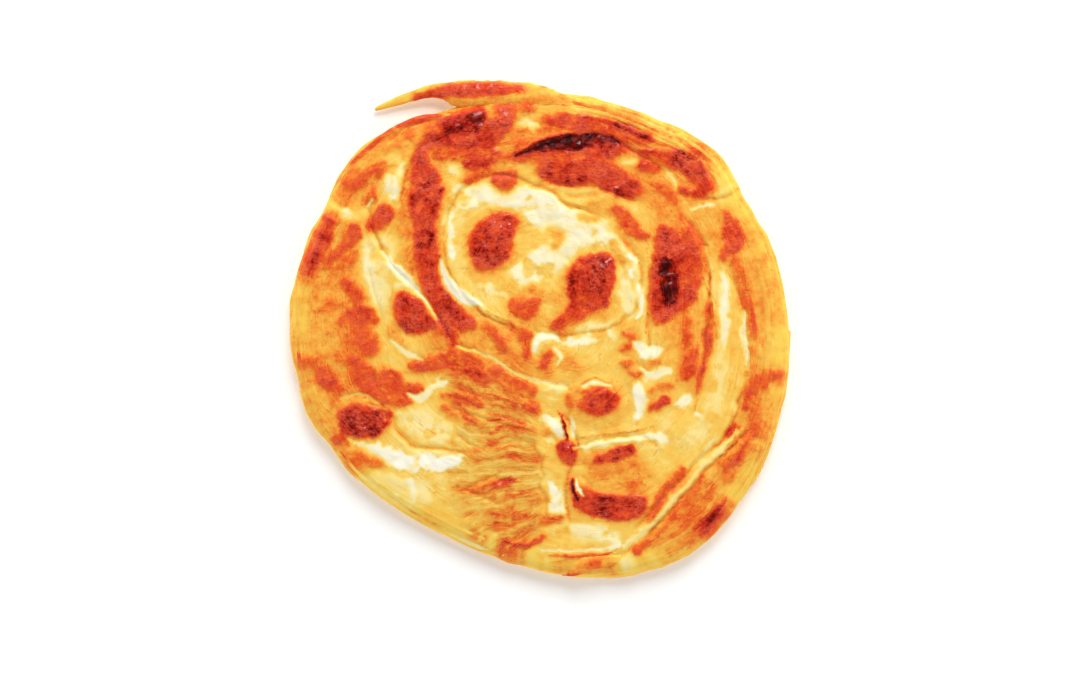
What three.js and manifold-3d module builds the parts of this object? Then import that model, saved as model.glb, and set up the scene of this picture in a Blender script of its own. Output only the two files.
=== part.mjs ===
// A paratha: a pan-fried flatbread of many thin dough layers. A buttered rope of dough is coiled, pressed
// flat and fried, so the top shows the creases between the turns, raised pads where it met the pan, the
// loose tail of the outer turn and a turned-up lip. It is one piece of dough, so it is one solid.
// Millimetres, +Z up. The origin is under the middle of the bread, on the surface that it lies on.
import * as THREE from "three";
import { mergeVertices } from "three/addons/utils/BufferGeometryUtils.js";
import Module from "manifold-3d";

// Driving dimensions
const THICKNESS = 8.4; // of the dough between the creases, half way out
const CROWN = 1.2; // how much thicker the middle is than the dough just inside the rim
const EDGE = 6.5; // how far in from the outline the rounded rim starts
const WIDEST_AT = 0.42; // the share of the rim's height at which it reaches furthest out
const CREASE_WIDTH = 2.8;
const LIP_WIDTH = 6.0; // how far the raised side of a crease takes to fall back
const PAD_EDGE = 3.0; // the slope round a raised pad

// Fineness of the faceted surface
const SECTORS = 6;
const TOP_RINGS = 31; // ring n has n facets in each sector, so all the facets are about the same size
const RIM_RINGS = 6;
const CREASE_STEPS = 48;
const ROPE_AROUND = 12;
const ROPE_ALONG = 18;
const SAME_POINT = 1e-4; // points nearer than this are one point

// How gradually a crease starts and ends, as a share of its length
const CREASE_FADE = 0.12;

// The outline, as compass points: degrees from +X, then the reach from the middle
const OUTLINE = [
  [0, 89.4],
  [14, 88.4],
  [33, 87],
  [46, 89.4],
  [60, 86.6],
  [85, 85.2],
  [108, 85],
  [124, 89.2],
  [138, 92.6],
  [152, 90],
  [178, 90.6],
  [200, 89.4],
  [209, 86.4],
  [220, 85],
  [236, 82],
  [250, 82],
  [262, 84.4],
  [276, 88.8],
  [290, 93.6],
  [303, 96.6],
  [318, 94.4],
  [336, 92],
];

// Creases between turns and folds. The dough to the left of the way that the points run is the raised side.
const CREASES = [
  // the inner turn, from its end in the middle round to the left and under the eye
  { depth: 1.5, lip: 0.5, path: [[15, 41], [0, 50], [-20, 55], [-33, 42], [-34, 23], [-25, 9], [-8, -1]] },
  { depth: 1.2, lip: 0.5, path: [[33, 4], [35, 16], [31, 30], [24, 39]] },
  // the second turn, down the left, and the leaf edge that runs on from it
  { depth: 1.6, lip: 0.6, path: [[-33, -5], [-38, 7], [-50, 19], [-62, 34]] },
  { depth: 1.3, lip: 0.7, path: [[11, -22], [-4, -17], [-20, -10], [-29, -6]] },
  // the second and third turns, up the right
  { depth: 1.7, lip: 0.6, path: [[55, -30], [58, -12], [60, 6], [59, 27], [48, 44]] },
  { depth: 1.3, lip: 0.5, path: [[66, -39], [73, -22], [73, -6], [71, 15], [65, 34]] },
  // the fold over the top, and the crisp outer edge of the lobe beside it
  { depth: 1.8, lip: 0.5, path: [[-13, 60], [4, 66], [20, 68], [34, 62], [49, 47]] },
  { depth: 1.4, lip: 1.0, path: [[58, 46], [61, 53], [53, 64], [38, 70], [20, 76], [2, 82]] },
  // the folded band low on the right, the lobe beside it, and the split between that and the fan of strands
  { depth: 1.6, lip: 0.9, path: [[70, -38], [57, -50], [46, -63], [33, -75]] },
  { depth: 1.2, lip: 0.6, path: [[42, -45], [33, -39], [22, -40], [13, -43]] },
  { depth: 1.9, lip: 0.3, path: [[10, -68], [7, -58], [6, -47], [9, -36], [7, -29]] },
  // the edge of the upper leaves along the flat side, low on the left
  { depth: 1.0, lip: 0.9, path: [[22, -82], [0, -81], [-22, -77], [-48, -64], [-70, -44]] },
];

// Pads that swelled against the pan: centre, reach along, reach across, turn in degrees, height
const PADS = [
  [-17, 31, 12, 9, 60, 1.0],
  [17, 18, 13, 8, 60, 1.1],
  [14, 57, 16, 5, -8, 1.0],
  [-42, 42, 20, 6, 95, 1.1],
  [-45, 7, 9, 7, 0, 0.9],
  [-26, 70, 14, 6, 20, 0.9],
  [48, 18, 17, 7, 88, 1.2],
  [21, -26, 8, 7, 0, 1.1],
  [28, -58, 15, 9, -10, 1.2],
  [-66, 5, 9, 14, 80, 0.7],
  [-63, -32, 10, 5, -5, 0.9],
  [-10, -62, 20, 11, -8, 0.9],
  [53, 58, 11, 7, -50, 0.8],
  [55, -66, 16, 5, 38, 0.8],
];

// The free end of the outer turn, which lies away from the bread at its tip
const TAIL = {
  path: [[2, 80.8, 4.4], [-14, 84.4, 4.4], [-30, 85, 4.0], [-45, 83, 3.4], [-58, 79.8, 2.6]],
  width: 8.6,
  height: 6.6,
};

// The lip of the lowest leaf, which sticks out past the rim at the bottom
const LIP = {
  path: [[28, -78.5, 3.2], [20, -81.5, 2.8], [11, -84.5, 2.4], [7, -86, 2.0]],
  width: 8.0,
  height: 4.0,
};

const clamp = THREE.MathUtils.clamp;
const smoothstep = THREE.MathUtils.smoothstep;

function makeOutline() {
  const points = OUTLINE.map(([degrees, reach]) => {
    const angle = THREE.MathUtils.degToRad(degrees);
    return new THREE.Vector3(reach * Math.cos(angle), reach * Math.sin(angle), 0);
  });
  return new THREE.CatmullRomCurve3(points, true, "catmullrom", 0.5);
}

function makeCreaseLines() {
  return CREASES.map(({ depth, lip, path }) => {
    const curve = new THREE.CatmullRomCurve3(path.map(([x, y]) => new THREE.Vector3(x, y, 0)));
    return { depth, lip, points: curve.getPoints(CREASE_STEPS) };
  });
}

// How far a crease lowers the dough, and raises its lip, at x, y
function creaseRelief({ depth, lip, points }, x, y) {
  let nearest = 1;
  let least = Infinity;
  for (let i = 1; i < points.length - 1; i++) {
    const distance = Math.hypot(x - points[i].x, y - points[i].y);
    if (distance < least) {
      least = distance;
      nearest = i;
    }
  }
  const before = points[nearest - 1];
  const after = points[nearest + 1];
  const side = (after.x - before.x) * (y - before.y) - (after.y - before.y) * (x - before.x);
  const along = nearest / (points.length - 1);
  const fade = smoothstep(along, 0, CREASE_FADE) * smoothstep(1 - along, 0, CREASE_FADE);
  const groove = -depth * Math.exp(-((least / CREASE_WIDTH) ** 2));
  const raised = side > 0 ? lip * Math.exp(-least / LIP_WIDTH) : 0;
  return fade * (groove + raised);
}

function padRelief([cx, cy, along, across, degrees, height], x, y) {
  const angle = THREE.MathUtils.degToRad(degrees);
  const dx = x - cx;
  const dy = y - cy;
  const u = (dx * Math.cos(angle) + dy * Math.sin(angle)) / along;
  const v = (dy * Math.cos(angle) - dx * Math.sin(angle)) / across;
  const outside = (Math.hypot(u, v) - 1) * Math.min(along, across);
  return height * (1 - smoothstep(outside, -PAD_EDGE, PAD_EDGE));
}

// The height of the top at x, y, where share runs from 0 in the middle to 1 at the outline
function topHeight(creaseLines, x, y, share) {
  let height = THICKNESS + CROWN * (0.5 - share * share);
  for (const line of creaseLines) height += creaseRelief(line, x, y);
  for (const pad of PADS) height += padRelief(pad, x, y);
  return height;
}

// The rings of points from the middle of the top, over the rim, to the edge of the underside. Each holds
// how many facets it has, its share of the way out to the shoulder, its bulge past that and its share of
// the height.
function makeRings() {
  const rings = [];
  for (let i = 1; i <= TOP_RINGS; i++) {
    rings.push({ facets: SECTORS * i, share: i / TOP_RINGS, bulge: 0, level: 1 });
  }
  for (let i = 1; i <= RIM_RINGS; i++) {
    const turn = Math.PI * (0.5 - i / RIM_RINGS);
    const rise = Math.sin(turn);
    const level = WIDEST_AT + rise * (rise > 0 ? 1 - WIDEST_AT : WIDEST_AT);
    rings.push({ facets: SECTORS * TOP_RINGS, share: 1, bulge: Math.cos(turn), level });
  }
  return rings;
}

// Joins two rings of points, of the same number or with one more in each sector, by a strip of triangles
function joinRings(index, inner, outer) {
  const a = (step) => inner.start + (step % inner.facets);
  const b = (step) => outer.start + (step % outer.facets);
  const innerSteps = inner.facets / SECTORS;
  const outerSteps = outer.facets / SECTORS;
  for (let sector = 0; sector < SECTORS; sector++) {
    for (let i = 0; i < outerSteps; i++) {
      const from = sector * innerSteps + i;
      const to = sector * outerSteps + i;
      if (outerSteps > innerSteps) {
        index.push(a(from), b(to), b(to + 1));
        if (i < innerSteps) index.push(a(from), b(to + 1), a(from + 1));
      } else {
        index.push(a(from), b(to), b(to + 1), a(from), b(to + 1), a(from + 1));
      }
    }
  }
}

function makeDisc() {
  const outline = makeOutline();
  const creaseLines = makeCreaseLines();
  const rings = makeRings();
  const positions = [0, 0, topHeight(creaseLines, 0, 0, 0)];
  for (const ring of rings) {
    ring.start = positions.length / 3;
    for (let step = 0; step < ring.facets; step++) {
      const point = outline.getPointAt(step / ring.facets);
      const shoulder = 1 - EDGE / point.length();
      const x = point.x * shoulder * ring.share;
      const y = point.y * shoulder * ring.share;
      const outward = 1 + ring.bulge * (1 / shoulder - 1);
      const z = ring.level * topHeight(creaseLines, x, y, ring.share * shoulder);
      positions.push(x * outward, y * outward, Math.max(z, 0));
    }
  }

  const index = [];
  const middle = 0;
  for (let step = 0; step < SECTORS; step++) {
    index.push(middle, 1 + step, 1 + ((step + 1) % SECTORS));
  }
  for (let i = 1; i < rings.length; i++) joinRings(index, rings[i - 1], rings[i]);
  const last = rings[rings.length - 1];
  const under = positions.length / 3;
  positions.push(0, 0, 0);
  for (let step = 0; step < last.facets; step++) {
    index.push(under, last.start + ((step + 1) % last.facets), last.start + step);
  }
  const geometry = new THREE.BufferGeometry();
  geometry.setAttribute("position", new THREE.Float32BufferAttribute(positions, 3));
  geometry.setIndex(index);
  return geometry;
}

// A rope of dough with round, tapered ends: a sphere whose length is laid along the path
function makeRope({ path, width, height }) {
  const line = new THREE.CatmullRomCurve3(path.map((point) => new THREE.Vector3(...point)));
  const rope = new THREE.SphereGeometry(1, ROPE_AROUND, ROPE_ALONG);
  rope.deleteAttribute("normal");
  rope.deleteAttribute("uv");
  const position = rope.getAttribute("position");
  for (let i = 0; i < position.count; i++) {
    const t = Math.acos(clamp(position.getY(i), -1, 1)) / Math.PI;
    const centre = line.getPoint(t);
    const heading = line.getTangent(t);
    const across = (position.getX(i) * width) / 2;
    const up = (position.getZ(i) * height) / 2;
    position.setXYZ(
      i,
      centre.x + heading.y * across,
      centre.y - heading.x * across,
      Math.max(centre.z + up, 0),
    );
  }
  return rope;
}

// A closed solid from a surface, turned right side out if its facets face inward
function toSolid(wasm, geometry) {
  const merged = mergeVertices(geometry, SAME_POINT);
  const vertProperties = new Float32Array(merged.getAttribute("position").array);
  const triVerts = new Uint32Array(merged.index.array);
  const solid = new wasm.Manifold(new wasm.Mesh({ numProp: 3, vertProperties, triVerts }));
  if (solid.volume() > 0) return solid;
  for (let i = 0; i < triVerts.length; i += 3) {
    const second = triVerts[i + 1];
    triVerts[i + 1] = triVerts[i + 2];
    triVerts[i + 2] = second;
  }
  return new wasm.Manifold(new wasm.Mesh({ numProp: 3, vertProperties, triVerts }));
}

function toGeometry(solid) {
  const { vertProperties, triVerts } = solid.getMesh();
  const geometry = new THREE.BufferGeometry();
  geometry.setAttribute("position", new THREE.BufferAttribute(vertProperties, 3));
  geometry.setIndex(new THREE.BufferAttribute(triVerts, 1));
  return geometry;
}

// Puts the origin under the middle of the bread
function settle(geometry) {
  geometry.computeBoundingBox();
  const { min, max } = geometry.boundingBox;
  return geometry.translate(-(min.x + max.x) / 2, -(min.y + max.y) / 2, -min.z);
}

const wasm = await Module();
wasm.setup();

const bread = toSolid(wasm, makeDisc())
  .add(toSolid(wasm, makeRope(TAIL)))
  .add(toSolid(wasm, makeRope(LIP)));

const toastedDough = new THREE.MeshStandardMaterial({ color: 0xf0b04c, roughness: 0.45, metalness: 0 });
const paratha = new THREE.Mesh(settle(toGeometry(bread)), toastedDough);
paratha.name = "paratha";

const group = new THREE.Group();
group.add(paratha);
export default group;
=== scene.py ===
import math
import bmesh
import bpy
import numpy as np
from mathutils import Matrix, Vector
from mathutils.bvhtree import BVHTree


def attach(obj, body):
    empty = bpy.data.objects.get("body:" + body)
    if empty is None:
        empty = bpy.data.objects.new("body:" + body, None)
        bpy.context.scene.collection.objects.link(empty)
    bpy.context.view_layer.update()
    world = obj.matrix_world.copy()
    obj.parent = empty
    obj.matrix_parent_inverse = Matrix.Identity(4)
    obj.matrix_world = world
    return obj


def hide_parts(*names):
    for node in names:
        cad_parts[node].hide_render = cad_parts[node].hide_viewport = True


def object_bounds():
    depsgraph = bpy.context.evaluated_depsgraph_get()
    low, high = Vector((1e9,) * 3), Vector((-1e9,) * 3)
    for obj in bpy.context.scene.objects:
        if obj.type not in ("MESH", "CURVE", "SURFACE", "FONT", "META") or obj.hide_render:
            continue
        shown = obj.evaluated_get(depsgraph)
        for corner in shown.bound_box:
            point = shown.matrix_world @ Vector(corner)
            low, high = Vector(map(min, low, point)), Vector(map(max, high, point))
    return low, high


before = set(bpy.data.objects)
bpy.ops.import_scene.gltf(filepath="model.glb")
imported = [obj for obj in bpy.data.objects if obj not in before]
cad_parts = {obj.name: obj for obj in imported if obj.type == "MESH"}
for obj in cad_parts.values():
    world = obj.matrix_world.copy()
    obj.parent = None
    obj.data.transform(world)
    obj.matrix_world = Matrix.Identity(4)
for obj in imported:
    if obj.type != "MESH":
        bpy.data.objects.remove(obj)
cad_low, cad_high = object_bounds()

# ============================================================================
# The camera. It looks straight down on the bread, as a cook looks at a plate, from a little below the
# middle, so that the bread lies just above the centre of the view.
# ============================================================================
MM = 0.001
VIEW_WIDTH = 385.7 * MM  # at the height of the bread's top
VIEW_DISTANCE = 900 * MM
VIEW_CENTRE = (-0.1 * MM, -6.4 * MM)

camera_data = bpy.data.cameras.new("camera")
camera_data.sensor_width = 36.0
camera_data.lens = camera_data.sensor_width * VIEW_DISTANCE / VIEW_WIDTH
camera = bpy.data.objects.new("camera", camera_data)
camera.location = (*VIEW_CENTRE, cad_high.z + VIEW_DISTANCE)
bpy.context.collection.objects.link(camera)
bpy.context.scene.camera = camera

# ============================================================================
# The toasting of the bread's top. Dough that stood proud met the hot pan and went orange, red-brown or
# black, and dough in the creases stayed cream. It is laid on in touches, from the broad tones to the
# thin folds on top. All the sizes of the bread are in millimetres from its middle, +Y away from the cook.
# Painted shade and highlights are laid in with the toasting, in the creases, the fan and along some edges.
# ============================================================================
LATTICE = 128  # random numbers along each side of a noise, which repeats after that
FAR = 99.0  # stands for any distance too far away to matter


def noise(x, y, size, seed):
    """Smooth random waves between -1 and 1, about size mm across."""
    lattice = np.random.default_rng(seed).uniform(-1, 1, (LATTICE, LATTICE))
    # an odd start, so that the middle of the bread is not on a corner of the lattice
    x, y = np.broadcast_arrays(np.asarray(x) / size + 31.7, np.asarray(y) / size + 17.3)
    column, row = np.floor(x).astype(int), np.floor(y).astype(int)
    u, v = x - column, y - row
    u, v = u * u * (3 - 2 * u), v * v * (3 - 2 * v)
    c0, c1 = column % LATTICE, (column + 1) % LATTICE
    r0, r1 = row % LATTICE, (row + 1) % LATTICE
    near = lattice[c0, r0] * (1 - u) + lattice[c1, r0] * u
    far = lattice[c0, r1] * (1 - u) + lattice[c1, r1] * u
    return near * (1 - v) + far * v


def rough(x, y, size, seed, octaves=4):
    """Noise with finer and finer waves on top of it, each weaker than the one before."""
    shares = [0.55**k for k in range(octaves)]
    return sum(noise(x, y, size / 2**k, seed + k) * share for k, share in enumerate(shares)) / sum(shares)


def rise(value, low, high):
    """0 below low, 1 above high, and a smooth step between them."""
    t = np.clip((value - low) / (high - low), 0, 1)
    return t * t * (3 - 2 * t)


def bell(value, width):
    """1 where the value is 0, falling smoothly to 0 at a few widths away from it."""
    return np.exp(-((value / width) ** 2))


def curve_between(before, a, b, after, t):
    """The smooth curve from a, at t = 0, to b, at t = 1, that also heeds the stops before and after them."""
    bend = 2 * before - 5 * a + 4 * b - after + t * (3 * (a - b) + after - before)
    return a + 0.5 * t * (b - before + t * bend)


def smooth_path(points, steps=5):
    """More points on a smooth curve through the given ones. Each point may hold widths beside its place."""
    p = np.array([points[0], *points, points[-1]], float)
    t = np.linspace(0, 1, steps, endpoint=False)[:, None]
    spans = [curve_between(*stops, t) for stops in zip(p, p[1:], p[2:], p[3:])]
    return np.vstack([*spans, p[-1:]])


def measure(x, y, points, margin=14.0):
    """For each place, its gap to the edge of a band along (x, y, half width) points, the share of the way
    along, and its distance to the left of the band's middle. Places past the margin are just far away."""
    path = smooth_path(points)
    gap, along, left = np.full(x.shape, FAR), np.zeros(x.shape), np.full(x.shape, FAR)
    reach = path[:, 2].max() + margin
    near = (x > path[:, 0].min() - reach) & (x < path[:, 0].max() + reach)
    near &= (y > path[:, 1].min() - reach) & (y < path[:, 1].max() + reach)
    px, py = x[near], y[near]
    best, share, side = np.full(px.shape, FAR), np.zeros(px.shape), np.full(px.shape, FAR)
    last = len(path) - 1
    for k, ((ax, ay, aw), (bx, by, bw)) in enumerate(zip(path, path[1:])):
        dx, dy = bx - ax, by - ay
        t = np.clip(((px - ax) * dx + (py - ay) * dy) / (dx * dx + dy * dy + 1e-9), 0, 1)
        distance = np.hypot(px - ax - t * dx, py - ay - t * dy)
        here = distance - (aw + t * (bw - aw))
        closer = here < best
        turn = np.sign((py - ay) * dx - (px - ax) * dy)
        best = np.where(closer, here, best)
        share = np.where(closer, (k + t) / last, share)
        side = np.where(closer, distance * turn, side)
    gap[near], along[near], left[near] = best, share, side
    return gap, along, left


# Each touch is (how dark, how soft its edge is, (x, y, half width) along it). Darkness runs from 0, white
# dough, over 0.3, golden, and 0.55, orange, to 0.8, red-brown, and 1, black.
BROAD_TONES = [
    # the margin and the outer turn
    (0.55, 7, [(-46, 70, 5), (-36, 71, 6), (-10, 69, 7), (16, 70, 5.6), (34, 65.4, 5.4), (48, 59.4, 5),
               (57, 50, 4)]),
    (0.46, 4, [(-6, 82, 2), (8, 82, 2), (20, 79, 2), (34, 74, 2)]),
    (0.45, 4, [(80, 24, 2.4), (83, 12, 3), (83.6, 2, 2)]),
    (0.48, 8, [(-60, 60, 5), (-70, 46, 5), (-76, 24, 7), (-76, 2, 9), (-73, -18, 10), (-67, -34, 6)]),
    (0.46, 8, [(58, 46, 4), (63, 38, 5), (67, 30, 4)]),
    (0.46, 8, [(66, 32, 6), (75, 22, 5.4), (76, 0, 3), (77, -22, 5), (73, -42, 4)]),
    (0.50, 8, [(46, -74, 5), (56, -66, 7), (66, -52, 5)]),
    (0.46, 5, [(4, -83, 2), (14, -82, 3.4), (24, -80, 2)]),
    # the turns round the eye
    (0.47, 8, [(36, 62, 5), (42, 50, 6), (50, 36, 7), (51, 16, 8), (52, -4, 6), (52, -14, 4)]),
    (0.42, 6, [(0, 50, 2), (12, 47, 3), (22, 44, 4), (28, 38, 3.4), (32, 30, 2)]),
    (0.38, 5, [(36, 27, 2), (37, 14, 2), (37, 2, 2)]),
    (0.50, 6, [(-46, 60, 5), (-46, 36, 5), (-42, 14, 5), (-34, -4, 6), (-20, -8, 6), (-2, -12, 5),
               (8, -15, 3)]),
    (0.46, 5, [(20, 4, 3), (12, -1, 3), (-4, 2, 3), (-12, -2, 3)]),
    # the fan of strands, and the lobe to the right of it
    (0.47, 7, [(-36, -12, 5), (-18, -18, 7), (-12, -30, 7)]),
    (0.40, 7, [(-20, -46, 7), (-20, -60, 9), (-12, -66, 10), (-6, -70, 6)]),
    (0.42, 7, [(-6, -58, 4), (-8, -66, 6)]),
    (0.49, 6, [(20, -49, 5), (30, -50, 6), (38, -52, 5), (32, -56, 4)]),
    (0.40, 5, [(66, -44, 2), (56, -56, 2)]),
    (0.40, 6, [(20, -26, 9), (24, -35, 4)]),
    (0.36, 6, [(56, -20, 6), (68, -25, 5)]),
]

PALE_DOUGH_AND_HIGHLIGHTS = [
    # round the spots of the eye
    (0.10, 3, [(-30, 50, 2), (-22, 49.5, 3.4), (-8, 47.5, 4.6), (2, 45.5, 3.6), (10, 41, 3.4),
               (20, 37, 2.6)]),
    (0.12, 3, [(-3, 40, 4), (5, 37, 4), (8, 29, 5), (0, 24, 5), (-7, 19, 4.4)]),
    (0.12, 3, [(14, 34, 3.4), (23, 33, 2.6), (29, 29, 1.4)]),
    (0.27, 3, [(-29, 44, 2), (-30, 34, 2.6), (-29, 24, 2.6), (-25, 15, 2.6), (-17, 10, 2)]),
    (0.34, 3, [(-25, 40, 1.4), (-27, 30, 1.4), (-24, 21, 1.6), (-14, 16, 2.4), (-6, 13, 2), (6, 12, 3)]),
    (0.34, 3, [(27, 30, 1.4), (29, 22, 1.6), (27, 12, 1.6)]),
    (0.06, 1.2, [(-32.6, 44, 1), (-33.6, 35, 1.8), (-33, 27, 1.2)]),
    (0.04, 1.2, [(-35.4, 24, 0.6), (-34, 19, 1.3), (-31, 14.5, 1.6), (-27, 11, 1.2), (-24, 9.4, 0.5)]),
    (0.20, 3, [(27, 20, 3), (29, 10, 4), (26, 0, 4), (16, 0, 3)]),
    # painted highlights: thin white lines along the right edge of the eye, in this touch and the next two
    (0.05, 1.2, [(31.6, 27.4, 0.8), (33.6, 25.8, 1.2)]),
    (0.06, 1.2, [(32, 21, 0.9), (32.4, 19, 0.9)]),
    (0.05, 1.2, [(35, 15, 0.8), (36, 13, 1.4), (35.4, 8, 0.9), (33.6, 4, 0.6)]),
    (0.18, 2, [(-21, 15, 1.6), (-16, 14, 1.6), (-13, 12, 0.8)]),
    # the left
    (0.22, 4, [(-62, 25, 3), (-58, 16, 3.4), (-57, 6, 3), (-57, 0, 2)]),
    (0.08, 1.4, [(-56.4, 27, 0.8), (-51, 21.6, 1.5), (-44, 14.4, 1), (-39.4, 8, 0.5)]),
    (0.14, 2.5, [(-50.6, 15, 1.6), (-46, 15, 1.4), (-42, 11.4, 0.8)]),
    (0.16, 3, [(-56, 63, 2), (-52, 60, 2.2), (-51, 56, 1.6)]),
    (0.12, 2.5, [(-55, 54, 2.2), (-52.6, 49, 2.6), (-52, 44, 1.6)]),
    (0.14, 2.5, [(-72, 42.6, 1), (-69, 40.4, 2), (-65.6, 36, 1.4), (-63, 27, 1.4), (-60, 14, 1.6),
                 (-58, 4, 1.4)]),
    (0.24, 4, [(-58, 33, 3), (-56, 26, 3)]),
    (0.06, 1.2, [(-53.4, -3.4, 0.7), (-52, -5.8, 0.9), (-46.4, -8.8, 0.9), (-43.6, -10, 0.5)]),
    (0.03, 1.8, [(-68, -40, 0.6), (-62, -41.4, 1.6), (-54, -45, 2.8), (-46, -47.6, 3),
                 (-36, -48.4, 2.2), (-29, -46.6, 1)]),
    (0.10, 1.6, [(-49, -21, 0.5), (-45, -25, 1.4), (-40, -20, 1.2), (-34, -18.4, 0.7)]),
    (0.22, 4, [(-52, -31, 2.6), (-44, -33, 4.6), (-38, -37, 3.4), (-34, -33, 2)]),
    (0.10, 1.2, [(-53.6, -31, 0.9), (-51.4, -30.6, 0.9)]),
    (0.22, 4, [(-60, -50, 2), (-52, -55, 3), (-42, -59, 4)]),
    (0.12, 1.6, [(-47, -54.6, 1.6), (-46.4, -60, 1)]),
    # the middle, below the eye
    (0.05, 1.4, [(-1.4, -5.6, 2), (1.6, -2.6, 2.4), (5.6, -3, 1), (6.4, -7, 0.5)]),
    (0.10, 1.6, [(8, -5.4, 1), (14, -4.4, 1.8), (20, -3.6, 1.2)]),
    (0.08, 1.8, [(34.6, -5, 1), (38, -8.4, 2.6), (42, -7.4, 1)]),
    (0.06, 1.6, [(33, -16.6, 1), (35, -22, 2.4), (35.6, -29, 2), (33, -33.6, 1)]),
    (0.14, 2, [(38, -16, 2), (45, -15, 1.4)]),
    (0.10, 1.6, [(48.6, -27.4, 1), (53, -25.4, 1.6)]),
    (0.08, 1.2, [(55.4, -29.4, 1), (57, -30.2, 0.8)]),
    (0.10, 1.4, [(1, -19.6, 1.2), (6, -20.6, 1.6), (10, -22, 1)]),
    (0.08, 1.6, [(1, -31, 1.4), (5, -33, 1.8), (8, -36.4, 1.2)]),
    (0.10, 1.2, [(2.6, -38.6, 1.4), (5, -40, 1)]),
    (0.12, 1.6, [(12, -41.6, 1), (20, -41, 1.2), (30, -39.6, 1.2), (40, -38.6, 1), (45, -40.4, 0.6)]),
    # low down
    (0.02, 1.6, [(3.4, -56, 1.6), (5.4, -60, 3.6), (6.6, -64.6, 2.6)]),
    (0.05, 1.4, [(-28, -73.6, 1), (-21, -76.6, 1.6), (-14, -79.4, 1.4), (-8, -80.4, 0.6)]),
    (0.08, 2, [(24, -84.6, 1.2), (30, -85.6, 1.6), (37, -84.6, 1.2)]),
    (0.18, 3, [(8, -72, 2.4), (16, -71.6, 2), (26, -74, 2.4)]),
    (0.10, 1.4, [(25, -78.4, 1), (28, -76.6, 0.9)]),
    (0.12, 2, [(22, -85, 1), (30, -84, 1.8), (40, -81, 1)]),
    (0.15, 1.8, [(66, -42, 0.9), (58, -48.6, 1), (50, -57, 1.2), (42, -66.6, 1.3), (34, -74, 1.2),
                 (30, -78, 0.7)]),
    # the right
    (0.10, 2.5, [(64.6, 21, 0.8), (65.6, 12, 1.5), (65, 2, 1.6), (65, -6, 1)]),
    (0.10, 1.3, [(71.6, 8, 0.5), (72.8, -2, 0.9), (73.4, -12, 0.6)]),
    (0.24, 5, [(63, -6, 3), (63, -18, 3.2), (60, -30, 3.4), (54, -38, 3.6)]),
    (0.18, 1.8, [(43, 58, 0.9), (46.4, 55, 1.5), (48, 51, 0.8)]),
    (0.18, 2.5, [(29, 61.4, 1.2), (33, 60.6, 1.4)]),
    (0.14, 2, [(-10, 74, 1), (-6, 75, 1.8), (-2, 73.4, 1.2)]),
    (0.16, 2, [(-15, 60.6, 0.9), (-26, 59, 2), (-31, 57, 2.4)]),
    (0.10, 1.4, [(53.6, 43.6, 0.6), (58, 44, 0.7), (62, 45.4, 0.5)]),
    # golden between the spots of the eye
    (0.46, 3, [(1, 12.6, 1.4), (7, 10, 2.2)]),
    (0.39, 4, [(26, 5, 3), (31, 0, 3)]),
    (0.44, 3, [(26, 31, 1.2), (30, 25, 1.4)]),
    (0.40, 3, [(-8, 13, 1.4), (-15, 15, 1.6)]),
    # pale beyond the eye
    (0.12, 3, [(-30, 46, 2), (-24, 45.6, 2)]),
    (0.24, 2, [(-8, 42.6, 1), (-2, 43.6, 1.4)]),
    # golden left of the eye, and in front of the far rim
    (0.47, 4, [(-54, -1, 2.4), (-50.6, -5, 2.4)]),
    (0.34, 3, [(25, 77, 2), (30, 75, 2)]),
]

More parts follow.
